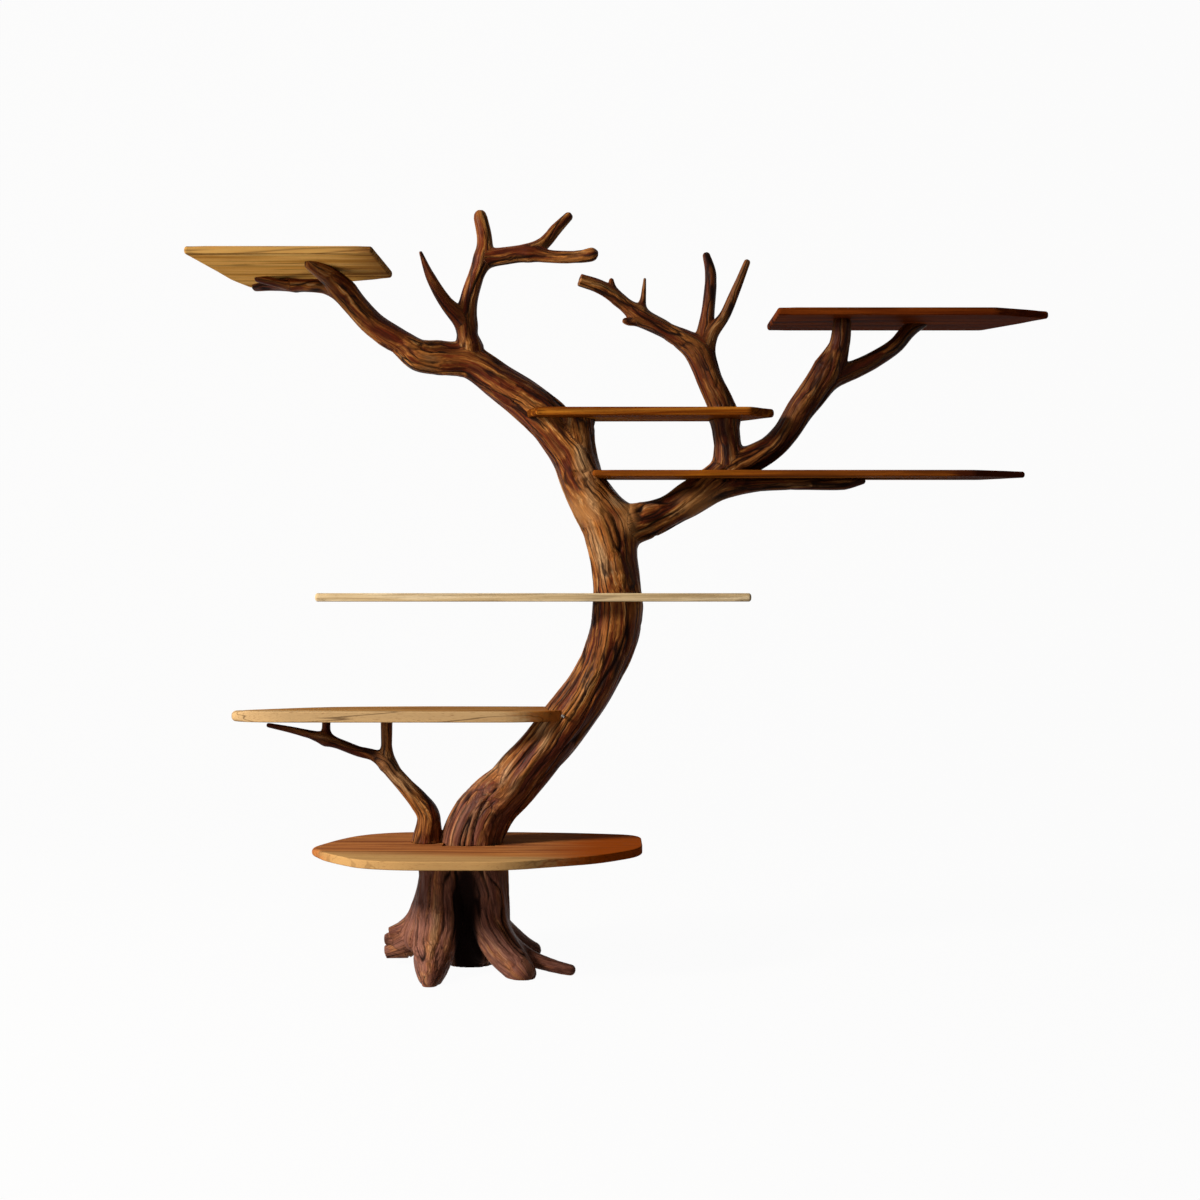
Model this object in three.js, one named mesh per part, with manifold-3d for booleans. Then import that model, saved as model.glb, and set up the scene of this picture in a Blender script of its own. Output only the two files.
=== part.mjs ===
// A tree shaped bookshelf: a natural trunk on its own roots, with two limbs, a prop branch and
// bare crowns of branches, carries seven boards. Millimetres, +Z up, +X to the right seen from
// the front, +Y to the rear. The group stands on Z = 0, with its origin under its middle.

import * as THREE from 'three';
import { mergeVertices } from 'three/addons/utils/BufferGeometryUtils.js';
import Module from 'manifold-3d';

const wasm = await Module();
wasm.setup();

// Driving dimensions.
const overallHeight = 1830;
const overallReach = 2012;
const overallDepth = 488;
const trunkRadius = 61;

// Boards.
const topLeftThickness = 18;
const topRightThickness = 18;
const upperMiddleThickness = 20;
const lowerRightThickness = 15;
const middleThickness = 20;
const lowerLeftThickness = 26;
const baseThickness = 20;
const boardEdgeBevel = 2;
const boardCornerRadius = 10;
const roundCornerRadius = 60;
const cornerFacets = 3;

// Fits: the gap round each piece, and how deep a board's slot is let into the limb.
const fitClearance = 0.3;
const housingDepth = 8;

// Dowels, screws, plugs and lag screws.
const stoutDowelRadius = 12.5;
const stoutDowelLength = 96;
const slimDowelRadius = 9;
const slimDowelLength = 72;
const crownDowelLength = 96;
const postDowelRadius = 5;
const postDowelBite = 26;
const dowelChamfer = 1.5;
const screwRadius = 2.5;
const screwHeadRadius = 5;
const screwHeadHeight = 3;
const screwPointLength = 5;
const tipScrewBite = 13;
const prongScrewBite = 22;
const postScrewBite = 42;
const plugRadius = 6;
const plugDepth = 6;
const lagRadius = 4;
const lagHeadRadius = 7.5;
const lagHeadHeight = 5.5;
const lagHeadSides = 6;
const lagPointLength = 7;
const lagBite = 38;
const lagPocketRadius = 12;
const lagPocketDepth = 14;

// Surface of the round wood: distance between sections, and the low ridges that wind along it.
const ringSpacing = 38;
const ridgeTurnLength = 780;
const ridgeShare = 0.035;
const fineRidgeShare = 0.02;

// Sides of the round pieces, as counts.
const stoutSides = 12;
const limbSides = 9;
const twigSides = 7;
const fixingSides = 12;

// How finely a limb is searched for its crossing with a board, as a share of its length.
const crossingStep = 0.0025;

// Longer than any cut has to be.
const overrun = overallReach;

// Centre lines of the limbs. Each point is a share of the reach to the right, of the depth to the
// rear and of the height, and the limb's radius there is a share of the trunk's.
const stemShares = [
  [-0.192, 0.222, -0.010, 1.05],
  [-0.190, 0.212, 0.030, 0.98],
  [-0.190, 0.192, 0.080, 0.92],
  [-0.191, 0.166, 0.125, 0.98],
  [-0.189, 0.141, 0.168, 1.18],
  [-0.177, 0.139, 0.198, 1.14],
  [-0.163, 0.139, 0.218, 1.03],
  [-0.143, 0.139, 0.238, 0.98],
  [-0.127, 0.139, 0.258, 0.98],
  [-0.094, 0.139, 0.298, 0.97],
  [-0.052, 0.139, 0.358, 0.93],
  [-0.032, 0.139, 0.397, 0.91],
  [-0.019, 0.139, 0.437, 1.00],
  [-0.014, 0.139, 0.477, 1.02],
  [-0.015, 0.139, 0.508, 0.97],
  [-0.018, 0.139, 0.537, 0.95],
  [-0.021, 0.139, 0.563, 0.99],
  [-0.027, 0.139, 0.590, 1.00],
  [-0.041, 0.139, 0.616, 0.86],
  [-0.055, 0.139, 0.639, 0.77],
  [-0.068, 0.139, 0.676, 0.85],
  [-0.083, 0.139, 0.700, 0.85],
  [-0.098, 0.139, 0.723, 0.87],
  [-0.124, 0.139, 0.748, 0.79],
  [-0.155, 0.139, 0.772, 0.71],
  [-0.192, 0.139, 0.798, 0.64],
  [-0.228, 0.127, 0.803, 0.70],
  [-0.251, 0.100, 0.806, 0.65],
  [-0.274, 0.077, 0.824, 0.48],
  [-0.305, 0.056, 0.846, 0.47],
  [-0.328, 0.015, 0.873, 0.47],
  [-0.345, -0.046, 0.895, 0.44],
  [-0.370, -0.251, 0.912, 0.24],
];
const stubShares = [
  [-0.042, 0.139, 0.606, 0.66],
  [-0.059, 0.139, 0.656, 0.74],
  [-0.064, 0.139, 0.690, 0.76],
  [-0.066, 0.139, 0.712, 0.84],
  [-0.068, 0.139, 0.722, 0.98],
];
const frontRootShares = [
  [-0.224, 0.132, 0.158, 0.66],
  [-0.224, 0.117, 0.120, 0.74],
  [-0.226, 0.054, 0.064, 0.90],
  [-0.230, -0.077, 0.026, 0.80],
  [-0.229, -0.248, 0.006, 0.52],
  [-0.229, -0.321, 0.000, 0.28],
];
const leftRootShares = [
  [-0.243, 0.148, 0.158, 0.58],
  [-0.236, 0.150, 0.118, 0.50],
  [-0.244, 0.158, 0.074, 0.60],
  [-0.262, 0.168, 0.040, 0.56],
  [-0.281, 0.178, 0.028, 0.40],
];
const webRootShares = [
  [-0.234, 0.142, 0.115, 0.50],
  [-0.240, 0.105, 0.072, 0.56],
  [-0.252, 0.070, 0.042, 0.54],
  [-0.257, 0.030, 0.030, 0.40],
];
const brokenRootShares = [
  [-0.258, 0.156, 0.056, 0.34],
  [-0.276, 0.154, 0.048, 0.24],
  [-0.289, 0.150, 0.0445, 0.16],
];
const splitRootShares = [
  [-0.270, 0.166, 0.036, 0.30],
  [-0.295, 0.171, 0.0335, 0.16],
];
const lowRootShares = [
  [-0.268, 0.172, 0.022, 0.38],
  [-0.294, 0.182, 0.0155, 0.23],
];
const rightRootShares = [
  [-0.173, 0.139, 0.156, 0.88],
  [-0.167, 0.117, 0.093, 0.74],
  [-0.162, 0.035, 0.054, 0.74],
  [-0.147, -0.046, 0.030, 0.70],
  [-0.129, -0.112, 0.010, 0.58],
  [-0.117, -0.168, 0.000, 0.44],
];
const thinRootShares = [
  [-0.136, -0.004, 0.027, 0.44],
  [-0.110, -0.036, 0.017, 0.29],
  [-0.086, -0.056, 0.010, 0.24],
  [-0.063, -0.074, 0.0055, 0.20],
];
const middleRootShares = [
  [-0.180, 0.160, 0.060, 0.60],
  [-0.176, 0.118, 0.026, 0.46],
  [-0.174, 0.090, 0.010, 0.32],
];
const rearRootShares = [
  [-0.185, 0.195, 0.110, 0.80],
  [-0.168, 0.293, 0.052, 0.66],
  [-0.136, 0.361, 0.018, 0.46],
  [-0.110, 0.392, 0.004, 0.28],
];
const leftProngShares = [
  [-0.335, -0.009, 0.884, 0.40],
  [-0.361, 0.010, 0.892, 0.28],
  [-0.395, 0.098, 0.898, 0.25],
  [-0.433, 0.254, 0.906, 0.24],
  [-0.464, 0.390, 0.910, 0.19],
];
const branchletShares = [
  [-0.400, 0.108, 0.898, 0.16],
  [-0.430, 0.137, 0.905, 0.17],
  [-0.452, 0.178, 0.913, 0.18],
];
const leftCrownShares = [
  [-0.190, 0.132, 0.802, 0.40],
  [-0.191, 0.128, 0.818, 0.52],
  [-0.194, 0.128, 0.836, 0.40],
  [-0.193, 0.128, 0.875, 0.37],
  [-0.184, 0.128, 0.911, 0.32],
  [-0.175, 0.128, 0.937, 0.34],
  [-0.174, 0.148, 0.962, 0.30],
  [-0.179, 0.163, 0.991, 0.27],
  [-0.180, 0.165, 0.998, 0.16],
];
const crownArmShares = [
  [-0.175, 0.128, 0.934, 0.34],
  [-0.149, 0.122, 0.938, 0.34],
  [-0.119, 0.113, 0.941, 0.32],
  [-0.095, 0.098, 0.936, 0.25],
  [-0.065, 0.077, 0.934, 0.24],
  [-0.046, 0.061, 0.936, 0.28],
  [-0.038, 0.053, 0.939, 0.24],
];
const crownForkShares = [
  [-0.119, 0.113, 0.942, 0.30],
  [-0.101, 0.139, 0.957, 0.25],
  [-0.088, 0.163, 0.975, 0.23],
  [-0.069, 0.189, 0.998, 0.17],
];
const crownSpikeShares = [
  [-0.196, 0.128, 0.847, 0.37],
  [-0.219, 0.087, 0.875, 0.27],
  [-0.236, 0.046, 0.906, 0.19],
  [-0.248, 0.015, 0.939, 0.06],
];
const rightStemShares = [
  [-0.022, 0.139, 0.562, 0.55],
  [-0.004, 0.139, 0.581, 0.74],
  [0.020, 0.139, 0.588, 0.72],
  [0.047, 0.139, 0.600, 0.62],
  [0.073, 0.139, 0.618, 0.59],
  [0.098, 0.139, 0.638, 0.61],
  [0.128, 0.139, 0.659, 0.61],
  [0.170, 0.139, 0.683, 0.52],
  [0.188, 0.139, 0.703, 0.50],
  [0.207, 0.139, 0.736, 0.55],
  [0.221, 0.133, 0.757, 0.58],
  [0.240, 0.128, 0.789, 0.60],
  [0.252, 0.108, 0.820, 0.40],
  [0.255, 0.077, 0.858, 0.34],
];
const rightTipShares = [
  [0.074, 0.139, 0.620, 0.56],
  [0.110, 0.128, 0.632, 0.40],
  [0.158, 0.118, 0.636, 0.26],
  [0.206, 0.108, 0.637, 0.25],
  [0.258, 0.098, 0.637, 0.24],
  [0.283, 0.093, 0.641, 0.12],
];
const postShares = [
  [0.120, 0.139, 0.655, 0.60],
  [0.119, 0.139, 0.689, 0.52],
  [0.117, 0.139, 0.709, 0.54],
  [0.116, 0.139, 0.722, 0.63],
];
const rightCrownShares = [
  [0.114, 0.139, 0.727, 0.60],
  [0.111, 0.139, 0.742, 0.52],
  [0.098, 0.139, 0.774, 0.49],
  [0.082, 0.139, 0.813, 0.51],
  [0.047, 0.128, 0.839, 0.34],
  [0.014, 0.118, 0.858, 0.37],
  [-0.012, 0.098, 0.879, 0.25],
  [-0.035, 0.077, 0.895, 0.27],
  [-0.059, 0.052, 0.903, 0.25],
];
const middleStemShares = [
  [0.088, 0.139, 0.800, 0.37],
  [0.091, 0.148, 0.836, 0.32],
  [0.096, 0.159, 0.869, 0.27],
  [0.099, 0.180, 0.917, 0.23],
  [0.093, 0.189, 0.946, 0.14],
];
const outerStemShares = [
  [0.091, 0.139, 0.809, 0.34],
  [0.100, 0.128, 0.835, 0.27],
  [0.115, 0.108, 0.859, 0.22],
  [0.128, 0.077, 0.892, 0.18],
  [0.142, 0.046, 0.930, 0.12],
];
const longTwigShares = [
  [0.014, 0.118, 0.862, 0.17],
  [0.017, 0.110, 0.880, 0.12],
  [0.019, 0.098, 0.908, 0.06],
];
const nubShares = [
  [0.014, 0.118, 0.856, 0.22],
  [0.000, 0.098, 0.850, 0.15],
  [-0.007, 0.085, 0.851, 0.09],
];
const shortTwigShares = [
  [-0.012, 0.098, 0.879, 0.19],
  [-0.019, 0.093, 0.893, 0.12],
  [-0.021, 0.089, 0.907, 0.08],
];
const upperProngShares = [
  [0.240, 0.128, 0.776, 0.42],
  [0.272, 0.147, 0.789, 0.37],
  [0.297, 0.171, 0.803, 0.34],
  [0.324, 0.205, 0.823, 0.31],
  [0.342, 0.234, 0.845, 0.30],
  [0.364, 0.261, 0.860, 0.22],
];
const propShares = [
  [-0.245, 0.139, 0.158, 0.58],
  [-0.241, 0.139, 0.198, 0.46],
  [-0.252, 0.139, 0.218, 0.40],
  [-0.268, 0.135, 0.238, 0.34],
  [-0.281, 0.132, 0.254, 0.32],
  [-0.291, 0.128, 0.269, 0.33],
  [-0.307, 0.122, 0.279, 0.23],
  [-0.324, 0.119, 0.284, 0.22],
  [-0.348, 0.118, 0.294, 0.21],
  [-0.363, 0.113, 0.300, 0.23],
  [-0.384, 0.106, 0.307, 0.17],
  [-0.401, 0.098, 0.312, 0.14],
  [-0.433, 0.077, 0.320, 0.09],
];
const innerPostShares = [
  [-0.291, 0.128, 0.268, 0.30],
  [-0.291, 0.128, 0.292, 0.22],
  [-0.291, 0.128, 0.326, 0.25],
];
const outerPostShares = [
  [-0.363, 0.113, 0.300, 0.20],
  [-0.363, 0.113, 0.312, 0.15],
  [-0.363, 0.113, 0.326, 0.18],
];

// Where the long limbs are sawn into two pieces, as shares of their length.
const leftLimbJointShare = 0.71;
const upperLimbJointShare = 0.55;

// How far the foot of the left crown is coped, as a share of the trunk's radius.
const crownSeatShare = 0.72;

// Where a screw, dowel or lag screw goes, as shares of the length of the limb that it goes into.
const frontProngScrewShare = 0.972;
const rearProngScrewShare = 0.8;
const branchletScrewShare = 0.86;
const innerBearerScrewShare = 0.97;
const outerBearerScrewShare = 0.95;
const tipScrewShare = 0.62;
const lowerLeftLagShare = 0.6;
const upperMiddleLagShare = 0.25;

// Boards: the underside's height as a share of the height, and the outline as shares of the reach
// and of the depth, from the front left corner to the right.
const boards = {
  shelf_top_left: {
    thickness: topLeftThickness,
    corner: boardCornerRadius,
    levelShare: 0.9115,
    outlineShares: [
      [-0.503, -0.426], [-0.290, -0.424], [-0.285, 0.179], [-0.338, 0.275], [-0.470, 0.448],
      [-0.484, 0.226],
    ],
  },
  shelf_top_right: {
    thickness: topRightThickness,
    corner: boardCornerRadius,
    levelShare: 0.8527,
    outlineShares: [
      [0.174, -0.052], [0.432, -0.052], [0.502, 0.064], [0.440, 0.446], [0.173, 0.446],
    ],
  },
  shelf_upper_middle: {
    thickness: upperMiddleThickness,
    corner: boardCornerRadius,
    levelShare: 0.7224,
    outlineShares: [
      [-0.110, -0.075], [0.143, -0.075], [0.174, 0.037], [0.135, 0.234], [-0.060, 0.240],
      [-0.123, 0.059],
    ],
  },
  shelf_lower_right: {
    thickness: lowerRightThickness,
    corner: boardCornerRadius,
    levelShare: 0.6437,
    outlineShares: [
      [-0.044, -0.073], [0.405, -0.073], [0.473, 0.044], [0.425, 0.213], [-0.036, 0.213],
    ],
  },
  shelf_middle: {
    thickness: middleThickness,
    corner: boardCornerRadius,
    levelShare: 0.4818,
    outlineShares: [
      [-0.370, -0.073], [0.144, -0.073], [0.138, 0.117], [0.120, 0.351], [-0.340, 0.361],
      [-0.366, 0.215],
    ],
  },
  shelf_lower_left: {
    thickness: lowerLeftThickness,
    corner: roundCornerRadius,
    levelShare: 0.3257,
    outlineShares: [
      [-0.430, -0.073], [-0.122, -0.073], [-0.068, 0.042], [-0.082, 0.322], [-0.250, 0.340],
      [-0.352, 0.303], [-0.400, 0.218], [-0.443, 0.094], [-0.483, 0.010],
    ],
  },
  shelf_base: {
    thickness: baseThickness,
    corner: roundCornerRadius,
    levelShare: 0.1525,
    outlineShares: [
      [-0.332, -0.316], [-0.305, -0.433], [-0.258, -0.490], [-0.139, -0.490], [-0.080, -0.375],
      [-0.035, -0.287], [0.016, -0.058], [0.016, 0.400], [-0.060, 0.474], [-0.136, 0.508],
      [-0.287, 0.508], [-0.333, 0.400], [-0.370, 0.082], [-0.377, -0.038], [-0.361, -0.162],
    ],
  },
};
for (const board of Object.values(boards)) {
  board.level = board.levelShare * overallHeight;
  board.middle = board.level + board.thickness / 2;
  board.top = board.level + board.thickness;
}

// Wood and metal of the pieces.
const barkWood = { color: '#7a4a24', roughness: 0.42, metalness: 0 };
const greyRootWood = { color: '#6f4a2c', roughness: 0.5, metalness: 0 };
const honeyBoard = { color: '#a87433', roughness: 0.4, metalness: 0 };
const walnutBoard = { color: '#6a3817', roughness: 0.36, metalness: 0 };
const orangeBoard = { color: '#a0622a', roughness: 0.38, metalness: 0 };
const brownBoard = { color: '#7a4518', roughness: 0.38, metalness: 0 };
const blondBoard = { color: '#c9a670', roughness: 0.45, metalness: 0 };
const beigeBoard = { color: '#bb9460', roughness: 0.48, metalness: 0 };
const redBoard = { color: '#a0673a', roughness: 0.4, metalness: 0 };
const beechDowel = { color: '#c8a06c', roughness: 0.6, metalness: 0 };
const zincSteel = { color: '#b8b6ae', roughness: 0.35, metalness: 1 };

const up = new THREE.Vector3(0, 0, 1);
const down = new THREE.Vector3(0, 0, -1);
const forward = new THREE.Vector3(0, -1, 0);

// Solids from three.js geometry, with the shared corners merged.
function solidOf(geometry, matrix = new THREE.Matrix4()) {
  geometry.deleteAttribute('normal');
  geometry.deleteAttribute('uv');
  const merged = mergeVertices(geometry);
  merged.applyMatrix4(matrix);
  return new wasm.Manifold(new wasm.Mesh({
    numProp: 3,
    vertProperties: Float32Array.from(merged.attributes.position.array),
    triVerts: Uint32Array.from(merged.index.array),
  }));
}

// A geometry again from a solid.
function geometryOf(solid) {
  const mesh = solid.getMesh();
  const geometry = new THREE.BufferGeometry();
  geometry.setAttribute('position', new THREE.BufferAttribute(Float32Array.from(mesh.vertProperties), 3));
  geometry.setIndex(new THREE.BufferAttribute(Uint32Array.from(mesh.triVerts), 1));
  geometry.computeVertexNormals();
  return geometry;
}

// Every given cutter taken away from a solid.
function cut(solid, ...cutters) {
  return cutters.reduce((rest, cutter) => rest.subtract(cutter), solid);
}

// All the given solids joined.
function join(...solids) {
  return solids.reduce((whole, solid) => whole.add(solid));
}

// A box between two opposite corners.
function block(low, high) {
  const size = new THREE.Vector3().subVectors(high, low);
  const centre = new THREE.Vector3().addVectors(low, high).multiplyScalar(0.5);
  const matrix = new THREE.Matrix4().makeTranslation(centre);
  return solidOf(new THREE.BoxGeometry(size.x, size.y, size.z), matrix);
}

// The place and turn that lays a shape's own Y axis along a direction, from a start point.
function alongMatrix(start, direction) {
  const turn = new THREE.Quaternion().setFromUnitVectors(new THREE.Vector3(0, 1, 0), direction);
  return new THREE.Matrix4().compose(start, turn, new THREE.Vector3(1, 1, 1));
}

// A round solid whose profile runs from the start point along a direction.
function turned(profile, start, direction, sides = fixingSides) {
  const points = profile.map(([radius, height]) => new THREE.Vector2(radius, height));
  return solidOf(new THREE.LatheGeometry(points, sides), alongMatrix(start, direction));
}

// A plain round bore.
function bore(start, direction, length, radius) {
  return turned([[0, 0], [radius, 0], [radius, length], [0, length]], start, direction);
}

// All that lies beyond a plane.
function beyond(point, direction) {
  const matrix = alongMatrix(point.clone().addScaledVector(direction, overrun), direction);
  return solidOf(new THREE.BoxGeometry(2 * overrun, 2 * overrun, 2 * overrun), matrix);
}

// A limb: its centre line, its radii and how many sides its section has. Where it starts or ends
// in a board, that end lies at the middle of the board's thickness.
function limb(shares, { sides = limbSides, startsIn, endsIn } = {}) {
  const points = shares.map(
    ([x, y, z]) => new THREE.Vector3(x * overallReach, y * overallDepth, z * overallHeight),
  );
  if (startsIn) {
    points[0].z = startsIn.middle;
  }
  if (endsIn) {
    points.at(-1).z = endsIn.middle;
  }
  return {
    curve: new THREE.CatmullRomCurve3(points, false, 'centripetal'),
    radii: shares.map((share) => share[3] * trunkRadius),
    sides,
  };
}

// A limb's radius at the curve's own parameter.
function radiusAt({ radii }, parameter) {
  const place = parameter * (radii.length - 1);
  const before = Math.min(Math.floor(place), radii.length - 2);
  return THREE.MathUtils.lerp(radii[before], radii[before + 1], place - before);
}

// The centre, direction and radius of a limb at a share of its length.
function stationAt(branch, share) {
  return {
    point: branch.curve.getPointAt(share),
    direction: branch.curve.getTangentAt(share),
    radius: radiusAt(branch, branch.curve.getUtoTmapping(share)),
  };
}

// Low ridges that wind slowly along the wood.
function ridge(angle, along) {
  const turn = (2 * Math.PI * along) / ridgeTurnLength;
  return 1 + ridgeShare * Math.cos(3 * angle + turn) + fineRidgeShare * Math.cos(5 * angle - 2 * turn);
}

// The solid of a limb: rings of corners about the centre line, closed by a flat cap at each end.
function sweep(branch, extra = 0) {
  const { curve, sides } = branch;
  const length = curve.getLength();
  const rings = Math.ceil(length / ringSpacing) + 1;
  const frames = curve.computeFrenetFrames(rings, false);
  const corners = [];
  for (let ring = 0; ring <= rings; ring += 1) {
    const parameter = curve.getUtoTmapping(ring / rings);
    const centre = curve.getPoint(parameter);
    for (let side = 0; side < sides; side += 1) {
      const angle = (2 * Math.PI * side) / sides;
      const reach = radiusAt(branch, parameter) * ridge(angle, (length * ring) / rings) + extra;
      const corner = centre.clone()
        .addScaledVector(frames.normals[ring], reach * Math.cos(angle))
        .addScaledVector(frames.binormals[ring], reach * Math.sin(angle));
      corners.push(corner);
    }
  }
  corners.push(curve.getPoint(0), curve.getPoint(1));
  const geometry = new THREE.BufferGeometry().setFromPoints(corners);
  geometry.setIndex(sweepFaces(rings, sides));
  return solidOf(geometry);
}

// Corner numbers of the faces of a sweep, its two cap centres last.
function sweepFaces(rings, sides) {
  const faces = [];
  const startCentre = (rings + 1) * sides;
  for (let side = 0; side < sides; side += 1) {
    const next = (side + 1) % sides;
    for (let ring = 0; ring < rings; ring += 1) {
      const here = ring * sides;
      const ahead = here + sides;
      faces.push(here + side, here + next, ahead + next);
      faces.push(here + side, ahead + next, ahead + side);
    }
    faces.push(startCentre, next, side);
    faces.push(startCentre + 1, rings * sides + side, rings * sides + next);
  }
  return faces;
}

// Where a limb passes a board: the section's middle and its flats, let in on both sides and in
// front. A tilted limb moves sideways within the board, so its flats lie closer together.
function tenonOf(branch, board) {
  let crossing = 0;
  while (branch.curve.getPointAt(crossing).z < board.middle) {
    crossing += crossingStep;
  }
  const { point, direction, radius } = stationAt(branch, crossing);
  const rise = Math.abs(direction.z);
  const drift = (Math.abs(direction.x) / rise) * board.thickness / 2;
  const half = radius / rise - drift - housingDepth;
  return {
    x: point.x,
    left: point.x - half,
    right: point.x + half,
    front: point.y - radius + housingDepth,
    rear: point.y + radius,
  };
}

// The room that a tenon takes out of a board, and leaves standing in the limb. It is open to
// the rear, and to the left or right where the limb passes a corner of the board.
function slot(tenon, gap = 0) {
  const low = new THREE.Vector3(tenon.left - gap, tenon.front - gap, 0);
  const high = new THREE.Vector3(tenon.right + gap, overrun, overrun);
  return block(low, high);
}

// A board's outline with rounded corners, grown by a gap on each side.
function outlineOf(board, gap = 0) {
  const points = board.outlineShares.map(
    ([x, y]) => new THREE.Vector2(x * overallReach, y * overallDepth),
  );
  const box = new THREE.Box2().setFromPoints(points);
  const centre = box.getCenter(new THREE.Vector2());
  const size = box.getSize(new THREE.Vector2());
  for (const point of points) {
    point.x += ((point.x - centre.x) * 2 * gap) / size.x;
    point.y += ((point.y - centre.y) * 2 * gap) / size.y;
  }
  const shape = new THREE.Shape();
  points.forEach((corner, index) => {
    const before = points.at(index - 1);
    const after = points[(index + 1) % points.length];
    const start = towards(corner, before, board.corner);
    const end = towards(corner, after, board.corner);
    if (index === 0) {
      shape.moveTo(start.x, start.y);
    } else {
      shape.lineTo(start.x, start.y);
    }
    shape.quadraticCurveTo(corner.x, corner.y, end.x, end.y);
  });
  shape.closePath();
  return shape;
}

// The point where a corner's rounding leaves the edge to another corner.
function towards(corner, other, radius) {
  const reach = Math.min(radius, corner.distanceTo(other) / 2);
  return other.clone().sub(corner).setLength(reach).add(corner);
}

// A board with its bevelled edges, before its slots and holes.
function boardBlank(board) {
  const geometry = new THREE.ExtrudeGeometry(outlineOf(board), {
    depth: board.thickness - 2 * boardEdgeBevel,
    bevelEnabled: true,
    bevelThickness: boardEdgeBevel,
    bevelSize: boardEdgeBevel,
    bevelOffset: -boardEdgeBevel,
    bevelSegments: 1,
    curveSegments: cornerFacets,
  });
  return solidOf(geometry, new THREE.Matrix4().makeTranslation(0, 0, board.level + boardEdgeBevel));
}

// The room that a board needs in a limb, with its clearance. A seat has all the room above it.
function roomFor(board, { seat = false } = {}) {
  const geometry = new THREE.ExtrudeGeometry(outlineOf(board, fitClearance), {
    depth: seat ? overrun : board.thickness + 2 * fitClearance,
    bevelEnabled: false,
    curveSegments: cornerFacets,
  });
  return solidOf(geometry, new THREE.Matrix4().makeTranslation(0, 0, board.level - fitClearance));
}

// All that lies below the top of a board, for a limb that stands on it.
function belowTop(board) {
  return beyond(new THREE.Vector3(0, 0, board.top + fitClearance), down);
}

// The room that a slotted board needs in the limb that passes it: the tenon stays.
function housingFor(board, tenon) {
  return roomFor(board).subtract(slot(tenon));
}

// A dowel with chamfered ends, and the blind hole for it.
function dowelAt(middle, direction, length, radius) {
  const start = middle.clone().addScaledVector(direction, -length / 2);
  const rim = radius - dowelChamfer;
  const profile = [
    [0, 0],
    [rim, 0],
    [radius, dowelChamfer],
    [radius, length - dowelChamfer],
    [rim, length],
    [0, length],
  ];
  const holeStart = start.clone().addScaledVector(direction, -fitClearance);
  return {
    solid: turned(profile, start, direction),
    hole: bore(holeStart, direction, length + 2 * fitClearance, radius + fitClearance),
  };
}

// A countersunk screw down through a board into the limb under it at a share of the limb's length,
// the plug over its head, and the hole for both.
function screwInto(branch, share, board, bite) {
  const place = branch.curve.getPointAt(share);
  const head = new THREE.Vector3(place.x, place.y, board.top - plugDepth - fitClearance);
  const length = board.thickness - plugDepth - fitClearance + bite;
  const profile = [
    [0, 0],
    [screwHeadRadius, 0],
    [screwRadius, screwHeadHeight],
    [screwRadius, length - screwPointLength],
    [0, length],
  ];
  const plugBase = new THREE.Vector3(place.x, place.y, board.top - plugDepth);
  const pocketBase = head.clone().addScaledVector(down, screwHeadHeight + fitClearance);
  const holeBase = head.clone().addScaledVector(down, length + fitClearance);
  return {
    solid: turned(profile, head, down),
    plug: bore(plugBase, up, plugDepth, plugRadius - fitClearance),
    hole: join(
      bore(holeBase, up, length, screwRadius + fitClearance),
      bore(pocketBase, up, overallHeight, plugRadius),
    ),
  };
}

// A lag screw from the back of the tree forward into the board's edge, and the hole for it.
function lagAt(tenon, board, x = tenon.x) {
  const seat = new THREE.Vector3(x, tenon.rear - lagPocketDepth, board.middle);
  const shank = seat.y - (tenon.front - lagBite);
  const profile = [[0, 0], [lagRadius, 0], [lagRadius, shank - lagPointLength], [0, shank]];
  const head = solidOf(
    new THREE.CylinderGeometry(lagHeadRadius, lagHeadRadius, lagHeadHeight, lagHeadSides),
    alongMatrix(seat.clone().addScaledVector(forward, -lagHeadHeight / 2), forward),
  );
  const pocketSeat = seat.clone().addScaledVector(forward, fitClearance);
  return {
    solid: join(turned(profile, seat, forward), head),
    hole: join(
      bore(seat, forward, shank + fitClearance, lagRadius + fitClearance),
      bore(pocketSeat, forward.clone().negate(), overallDepth, lagPocketRadius),
    ),
  };
}

// Limbs.
const stem = limb(stemShares, { sides: stoutSides });
const stub = limb(stubShares, { sides: stoutSides, endsIn: boards.shelf_upper_middle });
const leftProng = limb(leftProngShares);
const branchlet = limb(branchletShares, { sides: twigSides });
const leftCrownStem = limb(leftCrownShares);
const crownArm = limb(crownArmShares, { sides: twigSides });
const crownFork = limb(crownForkShares, { sides: twigSides });
const crownSpike = limb(crownSpikeShares, { sides: twigSides });
const rightStem = limb(rightStemShares, { sides: stoutSides });
const rightTip = limb(rightTipShares);
const post = limb(postShares, { endsIn: boards.shelf_upper_middle });
const rightCrownStem = limb(rightCrownShares, { startsIn: boards.shelf_upper_middle });
const middleStem = limb(middleStemShares, { sides: twigSides });
const outerStem = limb(outerStemShares, { sides: twigSides });
const longTwig = limb(longTwigShares, { sides: twigSides });
const shortTwig = limb(shortTwigShares, { sides: twigSides });
const nub = limb(nubShares, { sides: twigSides });
const upperProng = limb(upperProngShares);
const prop = limb(propShares, { startsIn: boards.shelf_base });
const innerPost = limb(innerPostShares, { sides: twigSides, endsIn: boards.shelf_lower_left });
const outerPost = limb(outerPostShares, { sides: twigSides, endsIn: boards.shelf_lower_left });
const leftRoot = limb(leftRootShares, { startsIn: boards.shelf_base });
const frontRoot = limb(frontRootShares, { startsIn: boards.shelf_base });
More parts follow.
